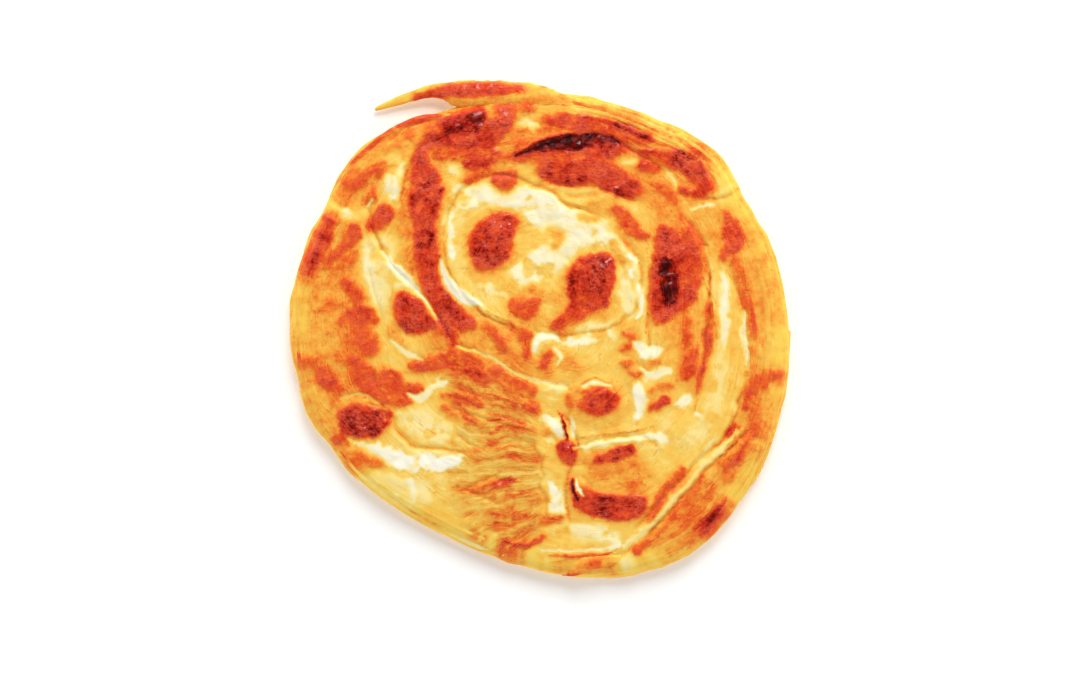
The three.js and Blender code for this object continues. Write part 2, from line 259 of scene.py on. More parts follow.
SCORCHES_AND_EDGE_SHADE = [
    # round the top of the margin
    (0.76, 1.6, [(-68, 60, 0.7), (-62, 65.6, 0.9), (-57, 70, 0.9), (-53.4, 72, 0.5)]),
    (0.78, 1.6, [(-51, 74, 0.7), (-44, 75.6, 1.1), (-38, 77.2, 0.9)]),
    (0.68, 1.8, [(-69, 50, 1.1), (-63.6, 54.6, 2.5), (-57, 59.4, 1.4)]),
    (0.56, 2.5, [(-70, 54, 1.6), (-63, 61, 2), (-56, 66, 1.6)]),
    (0.76, 1.2, [(-66, 53.4, 0.5), (-60, 56.6, 0.7), (-56.6, 58.8, 0.7)]),
    (0.70, 1.4, [(-63, 46.8, 1.1), (-60.4, 48.2, 0.9), (-60, 51, 0.4)]),
    (0.78, 1.6, [(-60, 38, 2), (-57, 40.6, 3.2), (-54.6, 41.6, 1.4)]),
    (0.60, 2, [(-54, 67, 1.6), (-48, 68.6, 1.8), (-42, 71, 1.4)]),
    (0.81, 1.6, [(-82.6, 20.6, 0.8), (-80, 26, 1.8), (-77.4, 33, 1.6), (-75.6, 41, 0.8)]),
    (0.77, 2, [(-77, 24, 1.8), (-71, 29, 1.2), (-68, 34, 2.4), (-66.6, 36.4, 1)]),
    (0.66, 2, [(-74, 21, 1), (-69, 25, 2), (-66.6, 27.6, 1)]),
    (0.70, 2, [(-70, 18, 1), (-67, 14, 2.6), (-65.6, 11, 1.6)]),
    # the left of the margin
    (0.70, 1.8, [(-79, 7, 0.7), (-75, 10, 1.9), (-72, 9.6, 1.2)]),
    (0.72, 2, [(-69, 4, 2.4), (-64, 5.4, 3.4), (-60.6, 4, 1.6)]),
    (0.68, 2.5, [(-65, -2, 3.4), (-62, -6, 3), (-66, -5, 2)]),
    (0.73, 2, [(-67, -12, 2.6), (-64, -16, 4), (-61, -19, 2.6)]),
    (0.74, 1.8, [(-62, -21, 2.4), (-56, -20, 4.2), (-50, -22, 2.6), (-44, -20.8, 0.5)]),
    (0.84, 1.4, [(-54, -15.6, 0.9), (-52.4, -17, 1.2)]),
    (0.72, 1.6, [(-56, -24.6, 1.6), (-49, -25.4, 1.4), (-46, -24, 0.6)]),
    (0.74, 2, [(-80, -13, 1), (-77, -17, 2.6), (-73, -22, 1.2)]),
    (0.70, 1.8, [(-87, -10, 0.9), (-83, -11, 1.5), (-80, -10, 0.6)]),
    (0.76, 1.3, [(-85, -27, 0.7), (-82, -31, 0.9), (-79, -34, 0.6)]),
    (0.87, 1.4, [(-70.6, -30.6, 1.8), (-65.6, -30.4, 3.4), (-60, -32, 3), (-55.6, -31, 1)]),
    (0.91, 1.4, [(-70.6, -34.6, 1.6), (-66, -35.4, 2.4), (-60, -36, 1.6), (-56, -33.6, 0.8)]),
    (0.78, 1.4, [(-71.6, -38, 1.2), (-70.6, -42, 1.5), (-68.6, -44.6, 0.8)]),
    (0.64, 1.6, [(-68, -45, 1), (-62, -46.6, 1.5), (-57.4, -47.8, 0.6)]),
    # the long arc down the left of the eye, and the spot beside its foot
    (0.79, 1.8, [(-42.4, 66, 1), (-43, 60, 2.8), (-41.4, 52, 4.8), (-41.8, 43, 4.2), (-41.6, 34, 3.2)]),
    (0.83, 1.8, [(-41.6, 34, 3.2), (-40.6, 24, 3.6), (-38.6, 15, 3.2), (-34, 7.4, 3.2), (-29, 3.4, 2.8),
                 (-25, 2, 1.6)]),
    (0.87, 1.2, [(-35.6, 50, 0.4), (-38, 43, 1), (-39.6, 34, 1.2), (-40, 25, 1.5), (-37.6, 16, 1.3)]),
    (0.84, 1.6, [(-37, 6, 1), (-33.6, 0, 1.8), (-31.4, -5, 0.9)]),
    (0.87, 1.6, [(-48.6, 10, 3.2), (-46.8, 6.4, 5), (-44, 3.4, 3.6), (-38.6, 2, 1.2)]),
    # the two spots of the eye, and the small ones between them
    (0.845, 1.6, [(-20.6, 25.4, 3.8), (-18.6, 31, 6.8), (-15.6, 35.6, 5.4), (-11, 38, 2)]),
    (0.86, 1.2, [(-22, 24, 1), (-17, 22.8, 1), (-12.6, 27, 0.8)]),
    (0.85, 1.6, [(22, 23.6, 3.6), (18, 19, 7), (17, 13.6, 6), (14.6, 8.6, 3.2), (10, 4.6, 1.6)]),
    # painted shade: the darker left and lower edges of this spot, in this touch and the next
    (0.88, 1.2, [(10, 19, 0.9), (12, 12.4, 1.4), (17, 8.4, 1.6), (22, 9.6, 1.2)]),
    (0.86, 1.2, [(10.6, 19, 1), (14, 8, 1), (19.6, 8, 0.9)]),
    (0.78, 1.5, [(13.6, 6, 2), (9, 3.4, 1.9), (5, 1, 0.7)]),
    (0.70, 1.6, [(-9.6, 8.6, 2.2), (-5, 7.6, 2.8), (-1, 9.4, 1)]),
    (0.60, 1, [(-3.6, 14.2, 0.8), (-2.6, 15.4, 0.4)]),
    (0.46, 1.6, [(2.6, 35, 0.8), (6, 34, 1.2), (5, 30.6, 1)]),
    (0.44, 1.6, [(14, 40.4, 0.6), (18.6, 40, 1)]),
    # the top: the char on the fold, the black streak and the lobe under it
    (0.80, 2, [(-40, 67.6, 2.4), (-30, 68.6, 4.6), (-20, 69, 4.4), (-12.6, 74.4, 1.8)]),
    (0.93, 1.4, [(-32, 71.6, 1.8), (-26, 73.2, 3.2), (-22, 75, 1.8)]),
    (0.90, 1.4, [(-39.6, 68.6, 1.4), (-35.6, 68.2, 1.8)]),
    (0.91, 1.2, [(-14.6, 74, 1.6), (-11.6, 76, 1.3)]),
    (0.87, 1.6, [(-17.6, 72.6, 1.8), (-18.6, 66, 2.2), (-20.6, 61.4, 2.2), (-24, 58, 0.6)]),
    (0.66, 1.6, [(-13, 67, 1), (-7, 67.6, 1.6), (-2, 70, 1)]),
    (0.84, 1.6, [(-27, 59.4, 1), (-21, 60, 2.6), (-16, 62.6, 1.2)]),
    (0.78, 1.6, [(-14, 77, 1.6), (-10, 77.4, 1.2)]),
    (0.80, 1.4, [(-37, 64.6, 1.4), (-36.6, 61.8, 0.9), (-30, 62, 0.7)]),
    (0.70, 1.6, [(-34, 63, 1), (-26, 62.6, 1.5), (-20, 62, 1.4)]),
    (0.70, 1.6, [(-27, 53.4, 0.7), (-23, 54.6, 1.7), (-19.4, 57, 0.6)]),
    (0.74, 1.4, [(-16, 61, 0.9), (-9, 62, 1.5), (0, 62.6, 1.8), (8, 62.6, 2), (18, 63, 1.6)]),
    (0.76, 1.4, [(-15.6, 53.6, 1.9), (-13, 53, 2.6), (-9.4, 55.4, 1)]),
    (0.84, 1.1, [(-9, 80, 1), (-6, 80, 1.5), (-3, 80.5, 0.7)]),
    (0.76, 1.6, [(2, 76, 1), (10, 74.5, 2.4), (20, 73, 2.6), (30, 70.6, 2.8), (38, 68.5, 1.4)]),
    (0.84, 1.4, [(17, 65.6, 2.4), (22, 65, 3.4), (28, 66.6, 2)]),
    (1.00, 1.6, [(-9, 62.6, 0.4), (-2, 65.4, 1.6), (6, 66.8, 2.6), (14, 67.4, 2.4), (22, 68, 1.5),
                 (27, 67.6, 0.4)]),
    (0.78, 1.6, [(2, 58, 2.6), (10, 58.6, 3.6), (19, 57.6, 3.8), (28, 53.6, 3.4), (34, 51, 1.8)]),
    # painted shade: the darker lower edge of the lobe
    (0.88, 1.1, [(1.4, 55.6, 1.5), (9, 53.6, 1.5), (19, 53.8, 1.5), (26, 50.6, 2), (32, 49.8, 1.5)]),
    (0.80, 1.3, [(37, 59, 1.8), (41, 57.6, 1.2)]),
    (0.81, 1.3, [(35.6, 63.6, 0.7), (42, 62.6, 1.2), (49, 60.6, 2.6), (55, 56.8, 3.2),
                 (58.2, 51.6, 2.4), (55, 48.6, 1.2), (51, 50, 0.7)]),
    (0.86, 1.1, [(47, 63.6, 0.4), (53.4, 61.6, 1), (57.6, 57.4, 1.1), (60, 51.6, 0.9)]),
    (0.70, 1.3, [(40, 53, 0.7), (44, 50, 1.2), (48, 46, 0.6)]),
    (0.72, 1.6, [(26.4, 43.4, 1.1), (30.6, 38.6, 2.2), (34, 35, 1.3), (38, 34, 0.6)]),
    # the right: the long scorch beside the eye, and the lines of the outer turns
    (0.82, 2.5, [(44, 35, 2), (46.6, 28, 5.4), (46, 18, 6), (44.6, 9, 4.6), (42, 5, 2)]),
    (0.78, 2.5, [(52, 35, 1), (54.4, 26, 2.8), (52.6, 14, 2.4), (50, 8, 1.4)]),
    (1.00, 2.6, [(44.4, 23.6, 2.2), (45.8, 17, 3.2), (45.6, 10.4, 2.4)]),
    (0.72, 1.1, [(50, 41, 0.3), (56.6, 31, 0.5), (59, 21, 0.3)]),
    (0.74, 1.3, [(60, 9, 0.9), (60.2, 2, 1.3), (59.6, -5, 1.2), (57.6, -13, 0.8), (56, -21, 0.4)]),
    (0.72, 2, [(52, 2, 1.4), (52.5, -4, 1.6)]),
    (0.76, 1.6, [(54, -8.6, 1.3), (53, -13, 2.2), (51, -16.4, 0.8)]),
    (0.60, 1.4, [(40, -21, 0.8), (46, -20, 0.9)]),
    (0.82, 1.2, [(40, -28, 1.3), (44, -25, 1.5)]),
    (0.77, 2, [(66, 41, 0.9), (68.4, 36, 2.4), (69, 31, 2.2), (66.4, 27, 1.5)]),
    (0.64, 2, [(69, 25, 1.5), (72.6, 18, 1.9), (74, 8, 1.5), (76, -1, 0.9)]),
    (0.55, 3, [(76, 24, 2), (78, 17, 2.4), (79, 10, 1.4)]),
    (0.50, 2.5, [(78, 16, 1.2), (80, 4, 1.4), (80, -6, 0.8)]),
    (0.73, 2, [(83, -16, 1.2), (79, -18.6, 2.2), (74.4, -23, 1.8), (73.6, -28, 1)]),
    (0.80, 1.1, [(69, -34, 0.6), (67, -37, 1)]),
    (0.62, 2.5, [(77, -27, 2), (76, -35, 2.4), (72, -43, 1.8), (66, -49, 1.8)]),
    (0.78, 1.3, [(73, -40, 0.5), (70.6, -46, 0.7), (66, -49, 1)]),
    # low on the right, outside the strap of dough
    (0.60, 2.5, [(42, -74, 1.8), (48, -70.6, 3), (55, -64.6, 3), (61, -57, 2)]),
    (0.80, 1.6, [(55, -70.4, 1.1), (60, -67.6, 1.8), (66, -62, 0.8)]),
    (0.76, 1.5, [(34.6, -78.4, 1.3), (38, -75.4, 1)]),
    (0.70, 1.6, [(38.6, -67, 1), (43, -60.4, 1.4), (48, -53.6, 1), (50.6, -49.6, 0.5)]),
    (0.72, 1.2, [(45, -69, 0.5), (52, -60, 0.8), (58, -52.4, 0.5)]),
    # the lobe between the strap and the fan
    (0.865, 1.3, [(14.6, -60.6, 2.4), (20, -61.6, 3), (27, -62.6, 3.2), (33.4, -62.6, 2.8),
                  (36, -61.4, 1)]),
    (0.90, 1.2, [(12.6, -62, 0.8), (18, -65, 1), (27, -67, 1), (33, -66.6, 1), (35.6, -64, 0.8)]),
    (0.95, 1.0, [(11.6, -54.6, 0.5), (12.4, -58, 0.9), (14.4, -60, 0.5)]),
    (0.80, 1.3, [(14.6, -58, 1.4), (17, -58.8, 1)]),
    (0.85, 1.3, [(20, -47, 1.1), (26, -45, 2.0), (32, -43, 1.4)]),
    (0.58, 2, [(20, -50, 1.6), (28, -49.6, 2), (34, -48, 1)]),
    (0.84, 1.5, [(7.6, -41.6, 1.5), (9.6, -43.6, 3), (10.4, -46.4, 1)]),
    (0.82, 1.6, [(15.6, -27, 1.9), (20.6, -25.6, 4), (25, -24.8, 1.9)]),
    (0.78, 1.3, [(16, -21.6, 0.8), (22, -21.8, 1)]),
    (0.70, 1.4, [(10, -23.6, 0.9), (10.4, -27, 1)]),
    (0.70, 1.4, [(3, -8.6, 1.2), (0.6, -12.4, 1.2)]),
    (0.60, 1.2, [(9, -11.4, 0.6), (13, -13.6, 0.6)]),
    (0.58, 1.2, [(3, -36, 0.8), (1.6, -36.6, 0.6)]),
    # the small spots right of the middle
    (0.68, 1, [(30, -2.4, 0.4), (32.4, -2.6, 0.5), (32.4, -5, 0.5), (29.6, -7, 0.4)]),
    (0.66, 1, [(30, -12.4, 0.8), (32, -11.8, 0.5)]),
    (0.62, 1, [(39.6, -12, 0.9), (42, -11.6, 0.5)]),
    (0.68, 1, [(31, -15.6, 0.3), (34, -16, 0.5), (36.6, -14.4, 0.3)]),
    # the middle, between the eye and the fan
    (0.70, 1.6, [(-20, 1, 1.2), (-16, -3, 2), (-13, -6.4, 1.3)]),
    (0.70, 1.4, [(-11, 1.5, 0.8), (-6, -2, 2), (-5, -6.4, 1.3), (-6, -9.4, 0.6)]),
    (0.74, 1.6, [(-46, -12.6, 1.3), (-40, -12.4, 2.2), (-32, -10.4, 1.8)]),
    (0.74, 2, [(-27, -9, 1.4), (-24, -13.6, 3.2), (-20, -18, 2)]),
    (0.66, 2.5, [(-18, -14, 1.6), (-12, -18, 2.4), (-4, -21, 1.8)]),
    # the fan of strands
    (0.72, 1.6, [(-35, -23, 0.6), (-28, -24.4, 1.7), (-22, -26.4, 0.8)]),
    (0.68, 1.6, [(-16, -24, 0.8), (-10, -26, 1.8), (-2, -28, 1.6)]),
    (0.62, 2, [(-35, -27.4, 0.6), (-27, -31.6, 1.1), (-20, -33.6, 0.8)]),
    (0.62, 1.6, [(-14, -34.4, 0.8), (-8, -35, 1.3), (-3, -36, 0.8)]),
    (0.58, 2, [(-22, -42, 1), (-14, -42, 0.8)]),
    (0.64, 1.6, [(-12, -44.6, 0.6), (-6, -45.2, 1.2), (0, -46.2, 0.7)]),
    (0.64, 1.6, [(-28, -57, 0.7), (-21, -56.6, 1.4), (-12, -54.8, 0.7)]),
    (0.54, 1.8, [(-22, -61, 0.8), (-10, -59, 1.2), (-3, -60, 1.6), (1, -60, 1)]),
    (0.50, 2, [(-24, -67, 1), (-12, -66, 2), (0, -67, 1.6)]),
    (0.50, 2, [(-18, -72, 0.6), (-13, -71.4, 0.8), (-4, -70, 1)]),
    (0.66, 1.2, [(1, -68.4, 0.6), (7, -67.6, 0.8)]),
    (0.76, 1.0, [(-14, -75.8, 0.4), (-10, -76.8, 0.6), (-5, -77, 0.7), (-1, -75.6, 0.7),
                 (1.2, -73.6, 0.4)]),
    # the lowest leaf
    (0.55, 1.4, [(5, -80.6, 0.5), (12, -80.8, 0.5), (18, -80.4, 0.4)]),
]

# What shows over the scorches
THIN_FOLDS = [
    # the brown edges of leaves, and a pale brink at the near rim
    (0.60, 0.6, [(59.6, -4, 0.15), (58.2, -14, 0.3), (56.4, -24, 0.25), (55, -28, 0.1)]),
    (0.58, 0.6, [(13, -38.6, 0.15), (24, -37.4, 0.3), (33, -36, 0.3), (41, -34.6, 0.1)]),
    (0.66, 0.8, [(2, -80.6, 0.2), (10, -81, 0.5), (20, -80.4, 0.5), (27, -78.4, 0.2)]),
    (0.10, 0.8, [(0, -79, 0.3), (10, -79.2, 0.5), (20, -78.6, 0.5), (28, -76.6, 0.3)]),
    (0.60, 0.6, [(-4, 81.6, 0.2), (8, 81.4, 0.35), (22, 77.6, 0.35), (36, 72.4, 0.3), (48, 66.6, 0.15)]),
    (0.58, 0.6, [(-20, 7, 0.15), (-12, 3, 0.3), (-6, 2.6, 0.15)]),
    (0.58, 0.6, [(37.6, 30, 0.1), (38.6, 18, 0.25), (38, 6, 0.25), (37, -1, 0.1)]),
    (0.55, 0.6, [(-66, -24.6, 0.15), (-58, -27.4, 0.3), (-56, -33, 0.15)]),
    (0.55, 0.6, [(13, -22, 0.15), (15.6, -18.4, 0.3), (20, -17, 0.3), (26, -19.6, 0.15)]),
    # folds that stayed pale beside a scorch
    (0.03, 1.8, [(-36, 25, 0.4), (-35, 20.6, 1.1), (-32.4, 15.4, 1.6), (-28.6, 11.8, 2.1),
                 (-24.6, 9.8, 1.5), (-21.6, 9, 0.4)]),
    (0.34, 1.0, [(-32.6, 43, 0.4), (-34, 35, 0.5), (-34, 28, 0.4)]),
    (0.06, 1.5, [(-57, 28.4, 0.4), (-51.6, 22, 1.1), (-45.6, 16, 0.8), (-40.6, 9.6, 0.5), (-37.4, 4, 0.3)]),
    (0.18, 1.0, [(-30, -6, 0.3), (-20, -9, 0.5), (-10, -14.6, 0.5), (0, -18.6, 0.9), (9, -20.6, 0.6)]),
    (0.14, 1.0, [(-54, -4, 0.4), (-48, -8, 0.9), (-42, -10.6, 0.3)]),
    (0.20, 1.0, [(-58, -26, 0.3), (-64, -23, 0.4), (-72, -24.6, 0.3)]),
    (0.12, 1.2, [(-48, -23, 0.5), (-43.6, -24.4, 1.5), (-39.6, -20.8, 1), (-35, -18.6, 0.4)]),
    (0.22, 1.0, [(70, -36, 0.5), (60, -46.8, 0.8), (51, -56.6, 0.8), (42, -67, 0.8), (34, -74.6, 0.7),
                 (30, -78, 0.4)]),
    (0.16, 1.0, [(12, -41.8, 0.4), (20, -40.8, 0.6), (30, -39.4, 0.6), (40, -38.6, 0.4)]),
    (0.07, 1.5, [(74, -14, 0.3), (73.6, -4, 0.5), (72.6, 6, 0.4)]),
    (0.24, 1.0, [(58.6, 30, 0.3), (61.4, 20, 0.5), (62, 8, 0.4)]),
    # pale crumbs of dough that broke up round the spots of the middle
    (0.08, 1.3, [(-2.6, -7, 0.8), (-1.4, -3, 1.5), (3.4, -2.2, 1.0), (6, -4, 0.5)]),
    (0.12, 1.2, [(4.6, -6.4, 0.6), (6.8, -9.6, 0.9), (6, -12.4, 0.4)]),
    (0.09, 1.4, [(10, -5.4, 0.5), (14.6, -4.4, 1.3), (19.6, -3.8, 0.6)]),
    (0.07, 1.5, [(33.6, -4.6, 0.7), (36.6, -8, 1.6), (40.6, -8.4, 1.5), (43.4, -7, 0.5)]),
    (0.10, 1.4, [(35.6, -13.6, 0.5), (40, -16, 0.9), (46, -15.4, 0.6)]),
    (0.07, 1.4, [(2.6, -31.4, 0.8), (5.6, -34.6, 1.3), (7.4, -38, 0.6)]),
    (0.10, 0.9, [(10.4, -31, 0.4), (11.4, -34.6, 0.9), (12, -38, 0.4)]),
    # a burnt sliver, and the curled end of the lobe, burnt outside and pale inside
    (0.96, 0.5, [(6.4, -29, 0.15), (8.3, -33.5, 0.55), (9.9, -38.8, 0.5)]),
    (0.99, 0.5, [(11.2, -53.8, 0.3), (11.8, -57.6, 0.7), (13.6, -61, 0.4)]),
    (0.04, 0.5, [(12.4, -53.2, 0.2), (13.3, -56.6, 0.6), (15, -59.6, 0.3)]),
    # pale edges of two blisters
    (0.12, 0.9, [(15, -20, 0.4), (19, -18.8, 0.9), (24.6, -19.6, 0.4)]),
    (0.10, 0.9, [(-62, 45, 0.4), (-60.6, 47, 0.5)]),
]

# A scorch spreads past its line by a share of its half width, is lighter at its edge, and browns the
# dough beside it, which stays lighter than the scorch
SWELL, SWELL_UP_TO = 0.22, 3.5
EDGE_FADE, EDGE_WIDTH = 0.09, 1.2
GLOW_REACH, GLOW_MOST, GLOW_LIGHTER = 1.2, 0.58, 0.08


def paint(x, y, touches, level):
    """Lays each touch over the level of toasting at x, y, with its soft edge."""
    for dark, soft, points in touches:
        gap, _, _ = measure(x, y, points)
        level = level + (dark - level) * rise(-gap, -soft / 2, soft / 2)
    return level


def scorch(x, y, touches, level):
    """Like paint, but a scorch is darkest in its middle, and turns the golden dough beside it orange."""
    for dark, soft, points in touches:
        gap, _, _ = measure(x, y, points)
        gap = gap - SWELL * min(max(width for _, _, width in points), SWELL_UP_TO)
        glow = min(dark - GLOW_LIGHTER, GLOW_MOST)
        level = level + np.maximum(glow - level, 0) * np.exp(-np.maximum(gap, 0) / GLOW_REACH)
        here = dark - EDGE_FADE * np.exp(np.minimum(gap, 0) / EDGE_WIDTH)
        level = level + (here - level) * rise(-gap, -soft / 2, soft / 2)
    return level


def wobbled(x, y, coarse, fine):
    """Places moved about a little, so that what is drawn there gets the ragged edge of real dough."""
    dx = coarse * rough(x, y, 7.0, 11) + fine * rough(x, y, 1.9, 31)
    dy = coarse * rough(x, y, 7.0, 51) + fine * rough(x, y, 1.9, 71)
    return x + dx, y + dy


LUMP_SIZE = 9.0
LUMP_TABLE = 64  # lumps along each side before they repeat
LUMP_BEND = 1.6


def lumps(x, y):
    """The lumps of soft dough: 0 on the seams between them, up to about 1 in their middles."""
    spots = np.random.default_rng(601).uniform(0, 1, (LUMP_TABLE, LUMP_TABLE, 2))
    u = (x + LUMP_BEND * rough(x, y, LUMP_SIZE, 601)) / LUMP_SIZE
    v = (y + LUMP_BEND * rough(x, y, LUMP_SIZE, 610)) / LUMP_SIZE
    column, row = np.floor(u).astype(int), np.floor(v).astype(int)
    nearest, second = np.full(u.shape, FAR), np.full(u.shape, FAR)
    for i in (-1, 0, 1):
        for j in (-1, 0, 1):
            spot = spots[(column + i) % LUMP_TABLE, (row + j) % LUMP_TABLE]
            distance = np.hypot(column + i + spot[..., 0] - u, row + j + spot[..., 1] - v)
            second = np.minimum(second, np.maximum(nearest, distance))
            nearest = np.minimum(nearest, distance)
    return second - nearest


BARE_TONE = 0.31  # oiled dough that no touch covers
# how much painted shade darkens creases and the fan's grooves, and how much a painted highlight lightens a
# crease's lip
CREASE_SHADE, LIP_HIGHLIGHT, FAN_GROOVE_SHADE = 0.26, 0.11, 0.16
LIP_OFF = 1.7  # from the middle of a crease to the lip beside it
CREASE_WOBBLE = (1.3, 0.35)


def toasting_and_painted_light(x, y):
    """How dark the top is at each place, from 0 for white dough to 1 for char, painted shade and highlights
    included.
    """
    level = BARE_TONE + 0.08 * rough(x, y, 16, 5)
    level = paint(*wobbled(x, y, 4.0, 1.0), BROAD_TONES, level)
    level = level + 0.09 * rough(x, y, 6, 91)
    level = paint(*wobbled(x, y, 1.8, 1.1), PALE_DOUGH_AND_HIGHLIGHTS, level)
    # soft pale dough stands in lumps, with golden seams between them
    pale = rise(0.32 - level, 0, 0.14)
    seam = 1 - rise(lumps(x, y), 0.02, 0.14)
    level = level + pale * (0.10 * seam * rise(rough(x, y, 12, 611), 0.0, 0.5) - 0.04)
    level = level + 0.22 * pale * rise(rough(x, y, 6, 621), 0.08, 0.42)
    # painted shade and highlight: a crease is painted browner, as shade, and the lip beside it paler, as a
    # highlight
    wx, wy = wobbled(x, y, *CREASE_WOBBLE)
    for depth, step, _, points in CREASES:
        gap, along, left = measure(wx, wy, [(px, py, 0.0) for px, py in points])
        fade = ends_faded(along, 0.1) * rise(rough(x, y, 11, 631), -0.7, 0.3)
        level = level + CREASE_SHADE * depth * fade * bell(gap, 0.55) * rise(0.8 - level, 0, 0.2)
        lip = bell(left - LIP_OFF * np.sign(step), 1.0)
        level = level - LIP_HIGHLIGHT * fade * lip * rise(level, 0.1, 0.35) * rise(0.7 - level, 0, 0.2)
    level = scorch(*wobbled(x, y, 1.2, 0.5), SCORCHES_AND_EDGE_SHADE, level)
    level = paint(*wobbled(x, y, 0.8, 0.5), THIN_FOLDS, level)
    # painted shade: the grooves between the strands of the fan are painted browner
    level = level + FAN_GROOVE_SHADE * fan_share(x, y) * (0.62 - fan_strands(x, y)) * rise(level, 0.15, 0.35)
    # browned skin is patchy, all but the char
    level = level + 0.13 * rough(x, y, 4.4, 97) * rise(level, 0.3, 0.7) * rise(0.95 - level, 0, 0.15)
    return level + 0.11 * rough(x, y, 2.6, 101) * rise(level, 0.62, 0.8) * rise(0.95 - level, 0, 0.15)


# ============================================================================
# The dough itself: a buttered rope, coiled and pressed flat into one disc of many leaves. The turns
# overlap like shingles, so each crease has a step on one side, and the rim shows the leaves' edges.
# ============================================================================
# The plan is nearly round, with a flat side low on the left, a corner high on the right and a full lower
# right side. Each stop: degrees from +X, and the reach from the middle to the rim there
OUTLINE = [
    (0, 89.4), (14, 88.4), (33, 87), (46, 89.4), (60, 86.6), (85, 85.2), (108, 85), (124, 89.2),
    (138, 92.6), (152, 90), (178, 90.6), (200, 89.4), (209, 86.4), (220, 85), (236, 82),
    (250, 82), (262, 84.4), (276, 88.8), (290, 93.6), (303, 96.6), (318, 94.4), (336, 92),
]
THICKNESS = 8.4
CROWN = 1.2  # how much higher the middle stands than the shoulder of the rim
EDGE = 6.0  # how far the rounded rim reaches out from its shoulder
WIDEST_AT = 0.42  # the height at which the rim is widest, as a share of the thickness
TOP_RINGS = 150
RIM_RINGS = 24
SECTORS = 6  # each ring of the disc has this many points more than the one inside it

# Creases: (depth, step up on the left of the line, how far the step takes to fall back, points)
CREASES = [
    # the inner turn, and the eye inside it
    (0.9, 0.7, 8, [(22, 41), (12, 44), (2, 50), (-14, 55), (-28, 50), (-34, 38), (-34, 24), (-27, 11),
                   (-16, 3), (-3, -1)]),
    (0.5, 0.4, 6, [(-4, 0), (8, -2), (22, 0), (32, 6), (36, 16), (34, 27), (27, 35)]),
    (0.5, 0.3, 5, [(26, 50), (15, 48), (4, 50)]),
    # the second turn, from its foot up the left of the eye
    (1.1, 0.8, 9, [(-32, -6), (-36, 3), (-42, 12), (-52, 22), (-60, 34), (-62, 46)]),
    (0.7, 0.4, 6, [(-50, 44), (-49, 54), (-45, 64), (-36, 68)]),
    (0.8, 0.6, 8, [(12, -21), (0, -19), (-12, -14.5), (-24, -8), (-32, -5)]),
    # the turns up the right
    (1.0, 0.8, 8, [(56, -24), (58, -8), (60, 6), (60, 20), (57, 33), (49, 42)]),
    (0.8, 0.6, 7, [(66, -38), (70, -28), (74, -16), (74, -4), (72, 10), (66, 22)]),
    (0.6, 0.5, 6, [(38, -8), (38, 4), (39, 18), (40, 30)]),
    (0.6, 0.4, 6, [(48, 49), (58, 47), (69, 49)]),
    # over the top
    (1.0, 0.6, 6, [(-13, 61), (-2, 65), (10, 68.6), (22, 69.5), (34, 64), (46, 55)]),
    (0.7, 0.5, 5, [(36, 46), (28, 48), (18, 51), (8, 51.6), (0, 53)]),
    (0.7, 0.5, 4, [(62, 49), (60, 57), (55, 64), (45, 69), (32, 73), (16, 79), (0, 81)]),
    (0.5, 0.4, 4, [(66, 50), (64, 60), (57, 68), (46, 73), (32, 77), (16, 82)]),
    (0.6, 0.5, 5, [(-8, 78), (-22, 79), (-36, 79.5), (-48, 76), (-60, 68), (-70, 58)]),
    # the strap low on the right, with a lobe on each side
    (1.1, 0.9, 5, [(74, -35), (67, -43), (57, -53), (48, -63), (36, -76)]),
    (0.9, -0.4, 5, [(70, -32), (63, -41), (53, -50), (44, -60), (32, -73)]),
    (0.8, 0.5, 8, [(42, -42), (35, -38.5), (25, -39), (14, -41.5)]),
    (1.0, 0.4, 6, [(11, -70), (9, -62), (10, -52), (12, -46), (13, -40), (10, -33), (6.5, -29)]),
    (0.7, 0.5, 6, [(-3, -40), (1, -50), (-1, -56), (2, -62), (3, -70)]),
    # the leaf edges of the fan and of the flat side
    (0.6, 0.5, 6, [(-2, -36.5), (-14, -33.5), (-28, -29), (-37, -24)]),
    (0.7, 0.5, 6, [(-26, -45), (-36, -43), (-44, -42.5), (-51, -37), (-56, -30)]),
    (0.6, 0.4, 4, [(0, -41), (-9, -40), (-20, -42.5), (-26, -40.7), (-30, -37)]),
    (0.5, 0.4, 4, [(0, -45), (-6, -46.5), (-11, -44)]),
    (0.6, 0.4, 4, [(-11, -54), (-18, -54), (-24, -55.5), (-29, -56.5)]),
    (0.5, 0.4, 4, [(-15, -63), (-21, -60), (-28, -57)]),
    (0.6, 0.4, 4, [(9, -67), (4, -69), (0, -71)]),
    (0.5, 0.4, 4, [(-16, -72), (-20, -73.4), (-27, -71)]),
    (0.6, 0.5, 5, [(3, -80.5), (-8, -81), (-18, -79), (-27, -73), (-38, -68.5), (-52, -60), (-66, -48),
                   (-73, -40)]),
    (0.6, 0.6, 5, [(1, -73), (-3, -77.5), (-9, -79), (-14, -77), (-20, -74.6)]),
    (0.6, 0.5, 5, [(34, -76), (30, -80), (22, -83), (12, -84), (4, -81)]),
    # the margin on the left
    (0.5, 0.5, 5, [(-57, -34), (-58, -26), (-66, -24), (-76, -26)]),
    (0.5, 0.4, 6, [(-56, -26), (-62, -10), (-57, 2), (-60, 14), (-62, 24)]),
]

